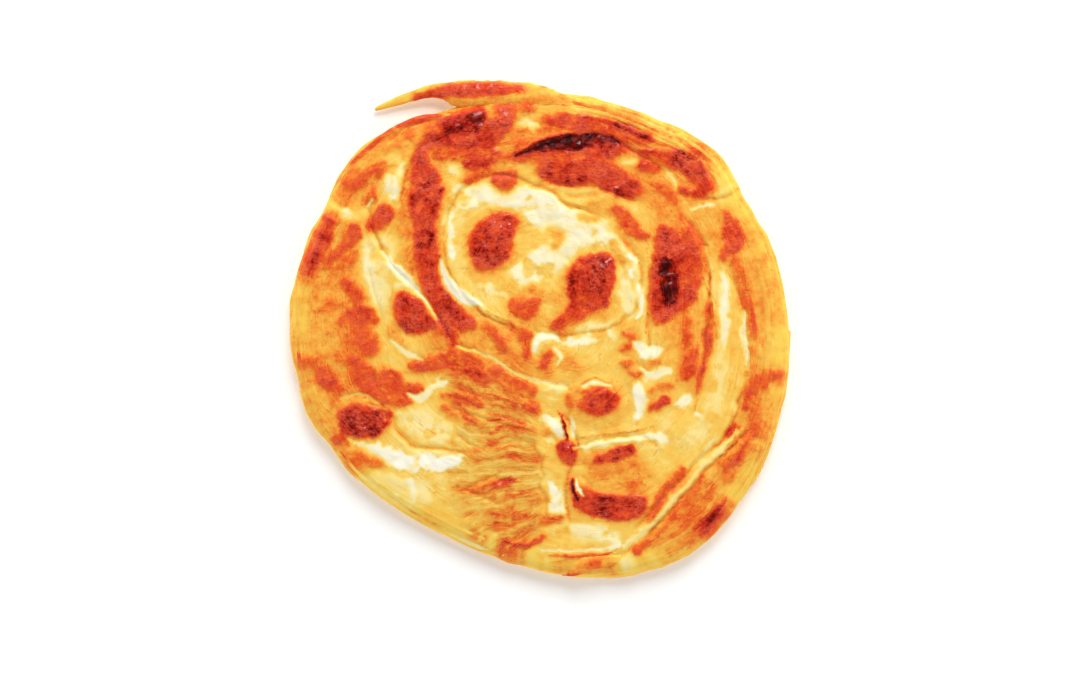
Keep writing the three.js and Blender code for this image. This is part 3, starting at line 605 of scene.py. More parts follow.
# Folds that stand up as soft ridges: (height, (x, y, half width) along the fold)
RIDGES = [
    (1.0, [(34, -74, 1.2), (45, -62.5, 2), (55, -51.5, 2), (65, -42, 1.8), (72, -34, 1)]),
    (0.9, [(-34, 42, 0.8), (-35, 30, 1.2), (-33, 19, 1.2), (-26, 10.5, 1), (-19, 5.5, 0.6)]),
    (0.7, [(-58, 29, 0.8), (-50, 21, 1.2), (-43, 13.6, 1), (-37, 4, 0.8), (-34, -2, 0.6)]),
    (0.6, [(-30, -6.5, 0.5), (-20, -10.5, 0.8), (-8, -16, 0.8), (3, -19.6, 0.8), (9, -21, 0.5)]),
    (0.6, [(58, 30, 0.8), (62, 18, 1.2), (63, 4, 1.2), (61.5, -10, 1)]),
    (0.6, [(71, 12, 0.6), (74.5, 0, 1), (75, -14, 1), (71, -27, 0.8)]),
    (0.5, [(14, -42, 0.6), (24, -40.4, 0.8), (38, -39.4, 0.8), (44, -43, 0.5)]),
    (0.7, [(-37, -23.6, 0.5), (-27, -28.5, 0.8), (-12, -33, 0.8), (-3, -36, 0.5)]),
    (1.3, [(13, -60, 0.8), (13.2, -57, 1.3), (15, -53, 0.9)]),
]

# Blisters, where steam lifted a leaf: (x, y, radius, height)
BLISTERS = [
    (20, -25.5, 10.5, 1.0), (-13, -4, 4.2, 0.9), (1, -4.5, 5, 0.8), (-61, 48.5, 3, 0.8), (37, -9, 4, 0.5),
    (31.5, -4, 3, 0.5), (31, -12, 2.6, 0.5), (5, -35, 4.4, 0.7), (-53, 53, 5, 0.6), (-17.5, 31, 10, 0.7),
    (18, 18, 11, 0.8), (-45.5, 6, 8, 0.9), (5, 46, 8, 0.5), (2, 28, 8, 0.4), (-46, -5, 6, 0.5),
    (10, -44, 4, 0.7), (44, 0, 7, 0.4), (-6, 8, 5, 0.5), (50, -36, 7, 0.5), (-57, 22, 7, 0.5),
]

# Where the dough is drawn out in strands: the fan, whose strands meet at its hinge
FAN_HINGE = (48, -47)
FAN_AREA = [(-30, -17, 5), (-16, -30, 12), (-18, -48, 17), (-14, -66, 14)]
COIL_MIDDLE = (2, 22)


def reach_at(angle):
    """The distance from the middle to the rim at each angle, on a smooth closed curve through OUTLINE."""
    degrees = np.degrees(angle) % 360
    stops = np.array([stop for stop, _ in OUTLINE] + [360])
    reaches = np.array([reach for _, reach in OUTLINE])
    i = np.searchsorted(stops, degrees, side="right") - 1
    t = (degrees - stops[i]) / (stops[i + 1] - stops[i])
    return curve_between(*(reaches[(i + k) % len(OUTLINE)] for k in (-1, 0, 1, 2)), t)


def ends_faded(along, share):
    """1 along the middle of a line, fading to 0 over a share of its length at each end."""
    return rise(along, 0, share) * rise(1 - along, 0, share)


def polar(x, y, middle):
    """The angle and the distance of each place as seen from a middle."""
    return np.arctan2(y - middle[1], x - middle[0]), np.hypot(x - middle[0], y - middle[1])


def strand_places(x, y):
    """Places along and across the strands, in mm: round the coil, and out from the fan's hinge."""
    angles = np.linspace(0, 2 * np.pi, 361)
    rim = reach_at(angles)
    rim_turn, rim_out = polar(rim * np.cos(angles), rim * np.sin(angles), COIL_MIDDLE)
    turn, out = polar(x, y, COIL_MIDDLE)
    coil_across = 90 * out / np.interp(turn, np.unwrap(rim_turn), rim_out, period=2 * np.pi)
    fan_along = np.hypot(x - FAN_HINGE[0], y - FAN_HINGE[1])
    fan_turn = np.arctan2(y - FAN_HINGE[1], FAN_HINGE[0] - x)
    return turn * 50, coil_across, fan_along, 60 * fan_turn + 2.6 * rough(x, y, 13, 340)


def creased(x, y, size, seed):
    """Sharp crests and soft hollows, as of dough that was folded or drawn out: 1 on the crests."""
    return 1 - 2.4 * np.abs(rough(x, y, size, seed, 3))


def fan_strands(x, y):
    """The strands of the fan: 1 along the middle of each, and less between them."""
    _, _, along, across = strand_places(x, y)
    return creased(along * 0.16, across, 3.0, 301)


def fan_share(x, y):
    """1 where the dough is drawn out in the strands of the fan, 0 outside it."""
    gap, _, _ = measure(*wobbled(x, y, 3, 1), FAN_AREA)
    return rise(-gap, -2, 2)


def crease_relief(x, y, depth, step, fall, points):
    """The groove of a crease and the shingle step beside it."""
    gap, along, left = measure(x, y, [(px, py, 0.0) for px, py in points], margin=3 * fall)
    shingle = step * np.exp(-np.abs(left) / fall) * rise(left, -0.4, 0.7)
    return ends_faded(along, 0.12) * (np.where(gap < FAR - 1, shingle, 0) - depth * bell(gap, 0.9))


def ridge_relief(x, y, height, points):
    """A soft fold that stands up along a line."""
    gap, along, _ = measure(x, y, points)
    return height * rise(-gap, -1.2, 1.0) * ends_faded(along, 0.1)


def blister_relief(x, y, cx, cy, radius, height):
    """A low bubble with a faint moat round it."""
    share = np.hypot(x - cx, y - cy) / radius
    return height * (rise(1 - share, 0, 0.75) - 0.25 * bell(share - 1.08, 0.14))


# How high each kind of relief stands
SAG, HUMP = 0.45, 0.36
PAD, LUMP = 0.55, 0.30
FAN_STRAND, COIL_LEAF = 0.5, 0.10
WRINKLE, CHAR_WRINKLE, CHAR_LUMP = 0.30, 0.22, 0.8
GRAIN, PAD_GRAIN = 0.05, 0.20


def top_height(x, y, level, share):
    """How high the top stands, in mm."""
    z = THICKNESS + CROWN * (0.5 - share**2) + SAG * rough(x, y, 26, 201, 2) + HUMP * rough(x, y, 7, 321, 3)
    wx, wy = wobbled(x, y, *CREASE_WOBBLE)
    for relief, marks in ((crease_relief, CREASES), (ridge_relief, RIDGES), (blister_relief, BLISTERS)):
        for mark in marks:
            z = z + relief(wx, wy, *mark)
    pad = rise(level, 0.35, 0.85)
    pale = rise(0.3 - level, 0, 0.15)
    z = z + PAD * pad + LUMP * pale * rise(lumps(x, y), 0, 0.45)
    coil_along, coil_across, _, _ = strand_places(x, y)
    fan = fan_share(x, y)
    leaves = creased(coil_along * 0.12, coil_across + 0.8 * rough(x, y, 8, 330), 3.4, 311)
    z = z + FAN_STRAND * fan * fan_strands(x, y) + COIL_LEAF * (1 - fan) * leaves
    # the browned skin is wrinkled, and the char is lumpy
    char = rise(level, 0.84, 0.92)
    z = z + (WRINKLE + CHAR_WRINKLE * char) * pad * creased(0.45 * (x + y) + 0.6 * z, y - x, 5.2, 351)
    z = z + CHAR_LUMP * char * rough(x, y, 4.4, 361, 2)
    return z + (GRAIN + PAD_GRAIN * pad * (1 - 0.8 * char)) * rough(x, y, 1.7, 341, 2)


def ring_strips(faces, inner, outer):
    """Joins two rings, given as (first point, count), that have the same count or differ by one a sector."""
    steps_in, steps_out = inner[1] // SECTORS, outer[1] // SECTORS
    for sector in range(SECTORS):
        for i in range(steps_out):
            a, a_next = (inner[0] + (sector * steps_in + i + k) % inner[1] for k in (0, 1))
            b, b_next = (outer[0] + (sector * steps_out + i + k) % outer[1] for k in (0, 1))
            faces.append((a, b, b_next))
            if steps_in == steps_out or i < steps_in:
                faces.append((a, b_next, a_next))


def disc_grid():
    """The rings of the disc: for each point its share of the way out, its angle and its turn round the rim,
    from a quarter turn on top to minus a quarter below, and the triangles between them."""
    rings = [(SECTORS * i, i / TOP_RINGS, 0.5) for i in range(1, TOP_RINGS + 1)]
    rings += [(SECTORS * TOP_RINGS, 1, 0.5 - i / RIM_RINGS) for i in range(1, RIM_RINGS + 1)]
    share, angle, turn = [0.0], [0.0], [0.5]
    faces = [(0, 1 + k, 1 + (k + 1) % SECTORS) for k in range(SECTORS)]
    before = None

    def add_ring(count, out, bend):
        here = (len(share), count)
        share.extend([out] * count)
        angle.extend(2 * math.pi * k / count for k in range(count))
        turn.extend([bend] * count)
        return here

    for count, out, bend in rings:
        here = add_ring(count, out, bend)
        if before:
            ring_strips(faces, before, here)
        before = here
    # the underside halves its points at each ring, and closes in one middle point
    out = 1.0
    while before[1] % 2 == 0:
        first, count = before
        out *= 0.6
        before = add_ring(count // 2, out, -0.5)
        for k in range(before[1]):
            a, b, c = (first + (2 * k + j) % count for j in range(3))
            d, e = before[0] + k, before[0] + (k + 1) % before[1]
            faces += [(a, d, b), (b, d, e), (b, e, c)]
    first, count = before
    middle, _ = add_ring(1, 0.0, -0.5)
    faces += [(first + k, middle, first + (k + 1) % count) for k in range(count)]
    return np.array(share), np.array(angle), np.array(turn) * math.pi, faces


def add_object(name, mesh):
    """An object for a mesh, in the scene."""
    thing = bpy.data.objects.new(name, mesh)
    bpy.context.collection.objects.link(thing)
    return thing


def make_mesh(name, points, faces, values, edges=()):
    """A smooth mesh from points in mm, with a number or a place stored at each point under each name."""
    mesh = bpy.data.meshes.new(name)
    mesh.from_pydata(((np.asarray(points) + SHIFT) * MM).tolist(), edges, faces)
    mesh.shade_smooth()
    for key, data in values.items():
        kind, field = ("FLOAT_VECTOR", "vector") if data.ndim == 2 else ("FLOAT", "value")
        mesh.attributes.new(key, kind, "POINT").data.foreach_set(field, data.astype("f").ravel())
    mesh.validate()
    return add_object(name, mesh)


def leaf_places(x, y, z):
    """Each point's place along the coil and along the fan, which the finish's streaks follow."""
    coil_along, coil_across, fan_along, fan_across = strand_places(x, y)
    return {
        "coil_place": np.stack([coil_along, coil_across, z], 1),
        "fan_place": np.stack([fan_along, fan_across, z], 1),
    }


share, angle, turn, faces = disc_grid()
rim_reach = reach_at(angle) + 0.5 * noise(angle * 40, 0, 7, 401) + 0.3 * noise(angle * 90, 0, 5, 402)
shoulder = rim_reach - EDGE
x, y = share * shoulder * np.cos(angle), share * shoulder * np.sin(angle)
level = toasting_and_painted_light(x, y)
z = top_height(x, y, level, share)

# The rim, from the top to the underside, and the edges of its leaves
STRAIGHT_UP, STRAIGHT_DOWN = 1.57, -1.57  # the turns past which the rim is flat
RIM_LAYERS = 5
LAYER_WAVER = 0.7
SPLIT_WIDTH = 0.16
SPLIT_DEPTH = 0.75
LEAF_JUT = 0.7
lift = np.sin(turn)
rim_level = np.where(turn > STRAIGHT_UP, 1.0, WIDEST_AT + lift * np.where(lift > 0, 1 - WIDEST_AT, WIDEST_AT))
rim_along = angle * 60
layer = rim_level * RIM_LAYERS + LAYER_WAVER * noise(rim_along, 0, 22, 411)
layer = layer + 0.25 * noise(rim_along, 0, 5, 412)
split = bell(layer % 1 - 0.5, SPLIT_WIDTH)
jut = noise(rim_along, np.floor(layer + 0.5) * 40, 9, 421)
on_side = rise(np.cos(turn), 0.2, 0.8)
bulge = np.cos(turn) * EDGE + on_side * (LEAF_JUT * jut - SPLIT_DEPTH * split)
outward = 1 + np.where(share == 1, bulge / shoulder, 0)
x, y, z = x * outward, y * outward, np.maximum(z * rim_level, 0)
z = np.where(turn <= STRAIGHT_DOWN, 0, z)

# The rim is golden, browner in its splits, and the underside is browned in patches
RIM_TONE = 0.34
UNDER_TONE = 0.42
side = rise(-turn, -1.35, 0.2)
level = level + (RIM_TONE + 0.12 * rough(angle * 50, layer * 6, 9, 431) - level) * side
level = level + 0.16 * on_side * split * side
under_level = UNDER_TONE + 0.5 * rough(x, y, 22, 441) + 0.2 * rough(x, y, 6, 451)
level = np.where(turn <= -1.5, np.clip(under_level, 0.25, 0.88), level)

# Crumbs of char lie on the scorched dough, more of them on the left margin and in the fan
CRUMBLY_AREAS = [
    (1, 9, [(-66, 36, 8), (-74, 10, 10), (-74, -18, 9), (-64, -32, 7)]),
    (0.5, 9, FAN_AREA),
]
crumbly = paint(x, y, CRUMBLY_AREAS, np.full(x.shape, 0.12))
crumbly = crumbly * rise(level, 0.35, 0.6) * rise(rough(x, y, 7, 461), -0.2, 0.5) * (turn > 1.5)

# The bread is drawn round its own middle, and moved to where the exact model stands, whose lip reaches
# a little past the disc at the near side
LIP_REACH = 0.3
shift_x = (cad_low.x + cad_high.x) / 2 / MM - (x.min() + x.max()) / 2
SHIFT = np.array([shift_x, cad_low.y / MM - y.min() + LIP_REACH, 0])
bread_values = {
    "toast_and_painted_light": level,
    "oily": rise(np.hypot(x, y) / rim_reach, 0.86, 0.97),
    "crumbs": crumbly,
    "fan": fan_share(x, y),
    **leaf_places(x, y, z),
}
bread = make_mesh("bread", np.stack([x, y, z], 1), faces, bread_values)

# Its colour also holds painted light: shade and highlights on its thin leaves, and a pinkish sheen on the
# browned skin.
# Fried dough: cream to golden where it is only oiled, then orange, red-brown and black. It is a little
# translucent, has an oily gloss, and reads how far it is toasted at each point of its mesh.
# Each stop: darkness, and the colour as seen in daylight, from 0 to 255
TOAST_COLOURS = [
    (0.00, (255, 249, 230)), (0.10, (255, 242, 200)), (0.20, (255, 228, 148)), (0.30, (253, 208, 96)),
    (0.42, (250, 182, 72)), (0.52, (248, 152, 56)), (0.62, (242, 112, 36)), (0.72, (231, 74, 24)),
    (0.80, (213, 50, 16)), (0.87, (186, 32, 10)), (0.93, (136, 17, 7)), (1.00, (62, 6, 5)),
]
BUTTER_YELLOW = (250, 210, 78)
PORE_BROWN = (96, 20, 10)
# the colour of the painted sheen: pinkish highlights on the red-brown skin
SHEEN_PINK = (238, 132, 100)
# How fine the patterns of the skin and of its painted sheen are, in waves to a metre
SHEEN_BLOOM, MOTTLE, OIL_PATCHES, PORES, FLECKS, SHEEN_SPECKS = 110, 300, 420, 620, 1100, 1300
# How many contour lines its thinnest leaves have from one end of the noise to the other
COIL_SHEETS, FAN_SHEETS = 7, 16


def linear(colour):
    """A colour given from 0 to 255, as light."""
    parts = [c / 255 for c in colour]
    return (*(c / 12.92 if c <= 0.04045 else ((c + 0.055) / 1.055) ** 2.4 for c in parts), 1.0)


def set_up(made, inputs, settings, links):
    """Sets up a new node. Inputs are given by name or number, as a value or as another node's output."""
    for key, value in settings.items():
        setattr(made, key, value)
    for key, value in inputs.items():
        if isinstance(value, bpy.types.NodeSocket):
            links.new(value, made.inputs[key])
        else:
            made.inputs[key].default_value = value
    return made


class Finish:
    """A material whose nodes are added one line at a time."""

    def __init__(self, name):
        self.material = bpy.data.materials.new(name)
        self.material.use_nodes = True
        self.tree = self.material.node_tree
        self.shader = self.tree.nodes["Principled BSDF"]

    def set_shader(self, **inputs):
        """Sets or feeds the shader's inputs, each given by its name with _ for a space."""
        named = {key.replace("_", " "): value for key, value in inputs.items()}
        set_up(self.shader, named, {}, self.tree.links)

    def node(self, kind, inputs, **settings):
        return set_up(self.tree.nodes.new(kind), inputs, settings, self.tree.links)

    def math(self, operation, a, b=0.0, clamp=False):
        return self.node("ShaderNodeMath", {0: a, 1: b}, operation=operation, use_clamp=clamp).outputs[0]

    def plus(self, total, *others):
        for other in others:
            total = self.math("ADD", total, other)
        return total

    def times(self, product, *others):
        for other in others:
            product = self.math("MULTIPLY", product, other)
        return product

    def minus(self, a, b, clamp=False):
        return self.math("SUBTRACT", a, b, clamp)

    def place(self):
        return self.node("ShaderNodeTexCoord", {}).outputs["Object"]

    def attribute(self, name, output="Fac"):
        return self.node("ShaderNodeAttribute", {}, attribute_name=name).outputs[output]

    def between(self, value, low, high, new_low=0.0, new_high=1.0):
        """New low at low, new high at high, in proportion between them, and never past either."""
        inputs = {"Value": value, "From Min": low, "From Max": high, "To Min": new_low, "To Max": new_high}
        return self.node("ShaderNodeMapRange", inputs).outputs[0]

    def noise(self, place, scale, detail=4.0, rough=0.55, distortion=0.0):
        inputs = {"Vector": place, "Scale": scale, "Detail": detail}
        inputs.update({"Roughness": rough, "Distortion": distortion})
        return self.node("ShaderNodeTexNoise", inputs).outputs["Fac"]

    def stretched(self, place, scale):
        return self.node("ShaderNodeVectorMath", {0: place, 1: scale}, operation="MULTIPLY").outputs[0]

    def ramp(self, value, stops):
        made = self.node("ShaderNodeValToRGB", {"Fac": value})
        while len(made.color_ramp.elements) < len(stops):
            made.color_ramp.elements.new(0.5)
        for element, (place, colour) in zip(made.color_ramp.elements, stops):
            element.position = place
            element.color = linear(colour)
        return made.outputs["Color"]

    def mix(self, share, a, b):
        # the colour sockets of a Mix node come after its number and vector ones
        return self.node("ShaderNodeMix", {0: share, 6: a, 7: b}, data_type="RGBA").outputs[2]


def fried_dough(name):
    """Fried dough, toasted by the attribute toast, and streaked along the coil or the strands of the fan."""
    f = Finish(name)
    place, toast_and_painted_light, fan = f.place(), f.attribute("toast_and_painted_light"), f.attribute("fan")
    outside_fan = f.minus(1.0, fan)

    def drawn_out(attribute, stretch, *noise_sizes):
        return f.noise(f.stretched(f.attribute(attribute, "Vector"), stretch), *noise_sizes)

    def fan_or_coil(in_fan, in_coil):
        return f.plus(f.times(in_fan, fan), f.times(in_coil, outside_fan))

    def vary(level, pattern, share):
        return f.plus(level, f.times(f.minus(pattern, 0.5), share))

    strand_streak = drawn_out("fan_place", (0.18, 1.0, 0.3), 0.8, 6, 0.7, 0.8)
    coil_streak = drawn_out("coil_place", (0.10, 1.0, 0.5), 0.7, 5, 0.6)
    streak = fan_or_coil(strand_streak, coil_streak)
    # the edges of the thinnest leaves are contour lines of a slow noise
    fan_sheet = drawn_out("fan_place", (0.22, 1.0, 0.4), 0.34, 2.5, 0.6, 0.5)
    coil_sheet = drawn_out("coil_place", (0.16, 1.0, 0.4), 0.22, 2.5, 0.6, 0.5)
    sheets = f.between(fan, 0, 1, COIL_SHEETS, FAN_SHEETS)
    leaf_step = f.math("FRACT", f.times(fan_or_coil(fan_sheet, coil_sheet), sheets))
    mottle = f.noise(place, MOTTLE, 5, 0.62)
    flecks = f.noise(f.stretched(place, (0.7, 1.0, 1.0)), FLECKS, 3, 0.7)

    # drawn-out dough is streaked, the edge of a scorch is ragged, and toasted dough is mottled
    level = vary(toast_and_painted_light, streak, f.between(fan, 0, 1, 0.08, 0.75))
    ragged = f.minus(1.0, f.times(f.math("ABSOLUTE", f.minus(toast_and_painted_light, 0.52)), 3.2), True)
    level = vary(level, mottle, f.plus(f.times(ragged, 0.26), f.between(toast_and_painted_light, 0.3, 0.75, 0.10, 0.34)))
    fleck_share = f.times(f.between(toast_and_painted_light, 0.35, 0.75, 0.08, 0.34), f.between(toast_and_painted_light, 1.0, 0.85, 0.3, 1.0))
    level = vary(level, flecks, f.plus(fleck_share, f.times(fan, 0.06)))
    # painted shade and highlight: each thin leaf is painted browner in the groove at its foot, as shade, and
    # paler on its brink, as a highlight
    groove = f.times(f.between(leaf_step, 0.10, 0.0), f.between(level, 0.95, 0.6, 0, 0.11))
    brink = f.times(f.between(leaf_step, 0.7, 1.0), f.between(level, 0.1, 0.4, 0.0, 0.07))
    level = f.minus(f.plus(level, groove), brink, True)
    colour = f.ramp(level, TOAST_COLOURS)
    # butter makes the thin edge a clear yellow
    butter = f.times(f.attribute("oily"), f.between(level, 0.5, 0.32), 0.5)
    colour = f.mix(butter, colour, linear(BUTTER_YELLOW))
    # the browned skin has dark pores
    pores = f.node("ShaderNodeTexVoronoi", {"Vector": place, "Scale": PORES}).outputs["Distance"]
    pore = f.times(f.between(pores, 0.22, 0.05), f.between(level, 0.45, 0.7), 0.45)
    colour = f.mix(pore, colour, linear(PORE_BROWN))
    # painted sheen: pale pinkish highlight specks, gathered in patches, on the red-brown skin
    sheen_specks = f.noise(f.stretched(place, (0.55, 1.0, 1.0)), SHEEN_SPECKS, 3, 0.7)
    sheen_bloom = f.between(f.noise(place, SHEEN_BLOOM, 4, 0.6), 0.42, 0.6, 0.25, 1.1)
    browned = f.times(f.between(level, 0.62, 0.76), f.between(level, 0.92, 0.84))
    painted_sheen = f.times(f.between(sheen_specks, 0.40, 0.70, 0.12, 1.0), sheen_bloom, browned, 0.55)
    colour = f.mix(painted_sheen, colour, linear(SHEEN_PINK))
    # oil stands in small patches on the browned skin
    patches = f.between(f.noise(place, OIL_PATCHES, 3, 0.6), 0.54, 0.62)
    oil = f.times(patches, f.between(level, 0.5, 0.75), 0.75)
    relief = f.plus(
        f.times(streak, f.between(fan, 0, 1, 0.22, 0.65)),
        f.times(leaf_step, f.between(level, 0.12, 0.36, 0.0, 0.16)),
        f.times(mottle, f.between(level, 0.2, 0.7, 0.1, 0.8)),
        f.times(flecks, f.between(level, 0.4, 0.75, 0.06, 0.5)),
    )
    bump = f.node("ShaderNodeBump", {"Height": relief, "Strength": 0.7, "Distance": 0.7 * MM})
    f.set_shader(
        Base_Color=colour,
        Roughness=f.between(level, 0.5, 0.95, 0.48, 0.26),
        Subsurface_Weight=0.18,
        Subsurface_Radius=(1.0, 0.45, 0.2),
        Subsurface_Scale=1.6 * MM,
        Coat_Weight=oil,
        Coat_Roughness=0.12,
        Specular_IOR_Level=0.1,
        Normal=bump.outputs["Normal"],
    )
    return f.material


dough = fried_dough("fried_dough")
bread.data.materials.append(dough)
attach(bread, "root")
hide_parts("paratha")

# ============================================================================
# The loose leaves at the rim: the tail of the rope, which lies away from the bread at its tip, and the lip
# of the lowest leaf. Each is a thin tongue of the same dough, drawn out by hand, that crisped in the pan.
# ============================================================================
# Each leaf: (x, y, height of its middle, half width, half thickness) from its root in the bread to its tip
TAIL_LEAF = [
    (26, 73.6, 5.0, 1.4, 1.6), (10, 80, 5.6, 3.4, 2.4), (-3, 83.6, 5.4, 4.6, 2.6),
    (-17, 84.8, 5.2, 4.9, 2.6),
    (-28, 84.8, 4.8, 5.0, 2.3), (-35, 85.8, 4.2, 3.2, 1.9), (-41, 85.6, 3.6, 2.2, 1.6),
    (-50, 83, 2.6, 1.7, 1.0),
    (-58, 80.2, 2.0, 0.9, 0.5), (-60, 79.4, 1.8, 0.4, 0.3),
]
TAIL_SCORCH = [
    (0.80, 1.4, [(-45, 83.4, 0.6), (-37, 85.2, 1.4), (-24, 86, 2.1), (-14, 86, 2), (-7, 86, 0.8)]),
    (0.88, 1.2, [(-40, 84, 0.6), (-30, 84.2, 1), (-20, 84.6, 0.9), (-12, 85, 0.5)]),
    (0.50, 2, [(-34, 82, 0.8), (-18, 81.8, 1.4), (-6, 82.6, 1.8), (6, 82, 2.8), (16, 79, 2.4)]),
]
UPPER_LEFT_LEAF = [
    (-27, 75.6, 6.8, 0.3, 0.3), (-34, 76, 7.0, 1.5, 1.0), (-44, 75, 6.9, 1.6, 1.2),
    (-53, 71, 6.8, 1.6, 1.2),
    (-61, 65.4, 6.6, 1.5, 1.2), (-68, 58.6, 6.4, 1.3, 1.0), (-73, 51, 6.0, 0.4, 0.4),
]
UPPER_LEFT_SCORCH = [
    (0.80, 1.2, [(-37, 77, 0.6), (-44, 75.6, 1.2), (-51, 73.4, 0.7)]),
    (0.76, 1.2, [(-54, 71.4, 0.6), (-61, 66.2, 1), (-68, 60, 0.6)]),
]
LOWER_LIP = [
    (31, -80.6, 6.4, 0.6, 0.5), (25, -82.4, 7.9, 1.8, 0.8), (16, -84, 8.0, 2.6, 1.0),
    (10.4, -86, 6.8, 2.4, 1.0),
    (7, -87.4, 3.8, 1.0, 0.5),
]
LOWER_LIP_SCORCH = [
    (0.52, 3, [(22, -83, 2.0), (14, -85, 2.4), (9, -86.6, 1.2)]),
    (0.72, 0.9, [(26, -84.4, 0.3), (18, -86.6, 0.5), (12, -88.6, 0.5)]),
    (0.80, 1, [(7, -87.6, 0.5), (9.6, -88.2, 0.9), (13, -87.4, 0.6)]),
    (0.74, 1, [(18, -83.4, 0.7), (20.6, -82.8, 0.5)]),
]
FOOT_LEAF = [
    (6, -77, 6.4, 0.3, 0.3), (-8, -79.6, 5.8, 2.0, 1.1), (-20, -77, 5.6, 2.2, 1.2),
    (-33, -71, 5.4, 2.2, 1.2),
    (-47, -63, 5.2, 2.0, 1.2), (-60, -53, 5.2, 1.8, 1.1), (-70, -43, 5.0, 0.4, 0.4),
]
FOOT_LEAF_SCORCH = [(0.48, 2, [(-50, -61, 0.6), (-42, -66, 0.8), (-34, -71, 0.5)])]
LEAF_AROUND = 28
LEAF_STEPS = 18
LEAF_UNDER_TONE = 0.4
LEAF_BUTTER = 0.8


def leaf(name, path, marks, base):
    """A closed tongue of dough along a path. Its edge wavers, and its top is scorched where the marks say."""
    line = smooth_path(path, LEAF_STEPS)
    heading = np.gradient(line[:, :2], axis=0)
    heading /= np.hypot(*heading.T)[:, None] + 1e-9
    count = len(line)
    turn = np.linspace(0, 2 * np.pi, LEAF_AROUND, endpoint=False)
    travel = np.cumsum(np.r_[0, np.hypot(*np.diff(line[:, :2], axis=0).T)])[:, None]
    left_or_right = np.sign(np.cos(turn)) * 20
    ragged = 1 + 0.16 * rough(travel, left_or_right, 6, 701) + 0.08 * rough(travel, turn * 2, 1.6, 705)
    across = line[:, 3:4] * np.cos(turn) * ragged
    up = line[:, 4:5] * np.sin(turn) * (1 + 0.2 * rough(travel, turn * 2, 4, 711))
    up = up + 0.25 * line[:, 4:5] * rough(travel, across, 5, 715)
    x = (line[:, 0:1] - heading[:, 1:2] * across).ravel()
    y = (line[:, 1:2] + heading[:, 0:1] * across).ravel()
    z = np.maximum(line[:, 2:3] + up, 0.05).ravel()
    first_end = tuple(reversed(range(LEAF_AROUND)))
    last_end = tuple((count - 1) * LEAF_AROUND + k for k in range(LEAF_AROUND))
    faces = [first_end, last_end]
    for ring in range(count - 1):
        for k in range(LEAF_AROUND):
            a, b = ring * LEAF_AROUND + k, ring * LEAF_AROUND + (k + 1) % LEAF_AROUND
            faces.append((a, b, b + LEAF_AROUND, a + LEAF_AROUND))
    plain = base + 0.14 * rough(x, y, 7, 721) + 0.08 * rough(x, y, 2.4, 725)
    level = scorch(*wobbled(x, y, 0.8, 0.4), marks, plain)
    level = np.where(np.tile(np.sin(turn), count) > -0.3, level, LEAF_UNDER_TONE)
    values = {"toast_and_painted_light": level, "oily": np.full(x.shape, LEAF_BUTTER), **leaf_places(x, y, z)}
    made = make_mesh(name, np.stack([x, y, z], 1), faces, values)
    made.data.materials.append(dough)
    shell = bmesh.new()
    shell.from_mesh(made.data)
    bmesh.ops.recalc_face_normals(shell, faces=shell.faces)
    shell.to_mesh(made.data)
    shell.free()
    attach(made, "root")


leaf("tail_leaf", TAIL_LEAF, TAIL_SCORCH, base=0.38)
leaf("upper_left_leaf", UPPER_LEFT_LEAF, UPPER_LEFT_SCORCH, base=0.42)
leaf("lower_lip", LOWER_LIP, LOWER_LIP_SCORCH, base=0.36)
leaf("foot_leaf", FOOT_LEAF, FOOT_LEAF_SCORCH, base=0.18)

# ============================================================================
# The strands: thin edges of the dough sheets, pressed side by side, that run with the coil over the far
# right of the bread, down its right side and along its foot. Each is a flattened, wavy thread of dough.
# ============================================================================
# Each strand: (angle it starts at, angle it ends at, inset from the rim, half width, toasting added)
RIM_STRANDS = [
    (96, 38, 3.4, 1.0, 0.06), (92, 36, 5.8, 0.9, -0.10), (84, 42, 8.0, 0.9, 0.10),
    (74, 40, 10.2, 0.8, -0.06),
    (28, -30, 8, 1.1, -0.04), (22, -40, 13.5, 1.0, 0.05), (24, -10, 27, 0.8, 0.06),
    (-40, -62, 4.5, 1.0, 0.05),
    (-38, -66, 8, 0.9, -0.08), (206, 250, 2.4, 1.0, 0.05), (212, 262, 5.0, 0.9, -0.02),
    (168, 200, 3.4, 0.9, 0.06),
    (150, 176, 4.8, 0.8, 0.05),
]
STRAND_STEP = 1.0
STRAND_SINK = 0.16
END_SINK = 0.4
END_TAPER = 0.3  # the share of its length over which each end thins out

surface = BVHTree.FromObject(bread, bpy.context.evaluated_depsgraph_get())


def on_top(x, y):
    """The height of the bread's surface at x, y, in mm in the bread's own frame."""
    above = Vector(((x + SHIFT[0]) * MM, (y + SHIFT[1]) * MM, 1))
    return surface.ray_cast(above, Vector((0, 0, -1)))[0].z / MM


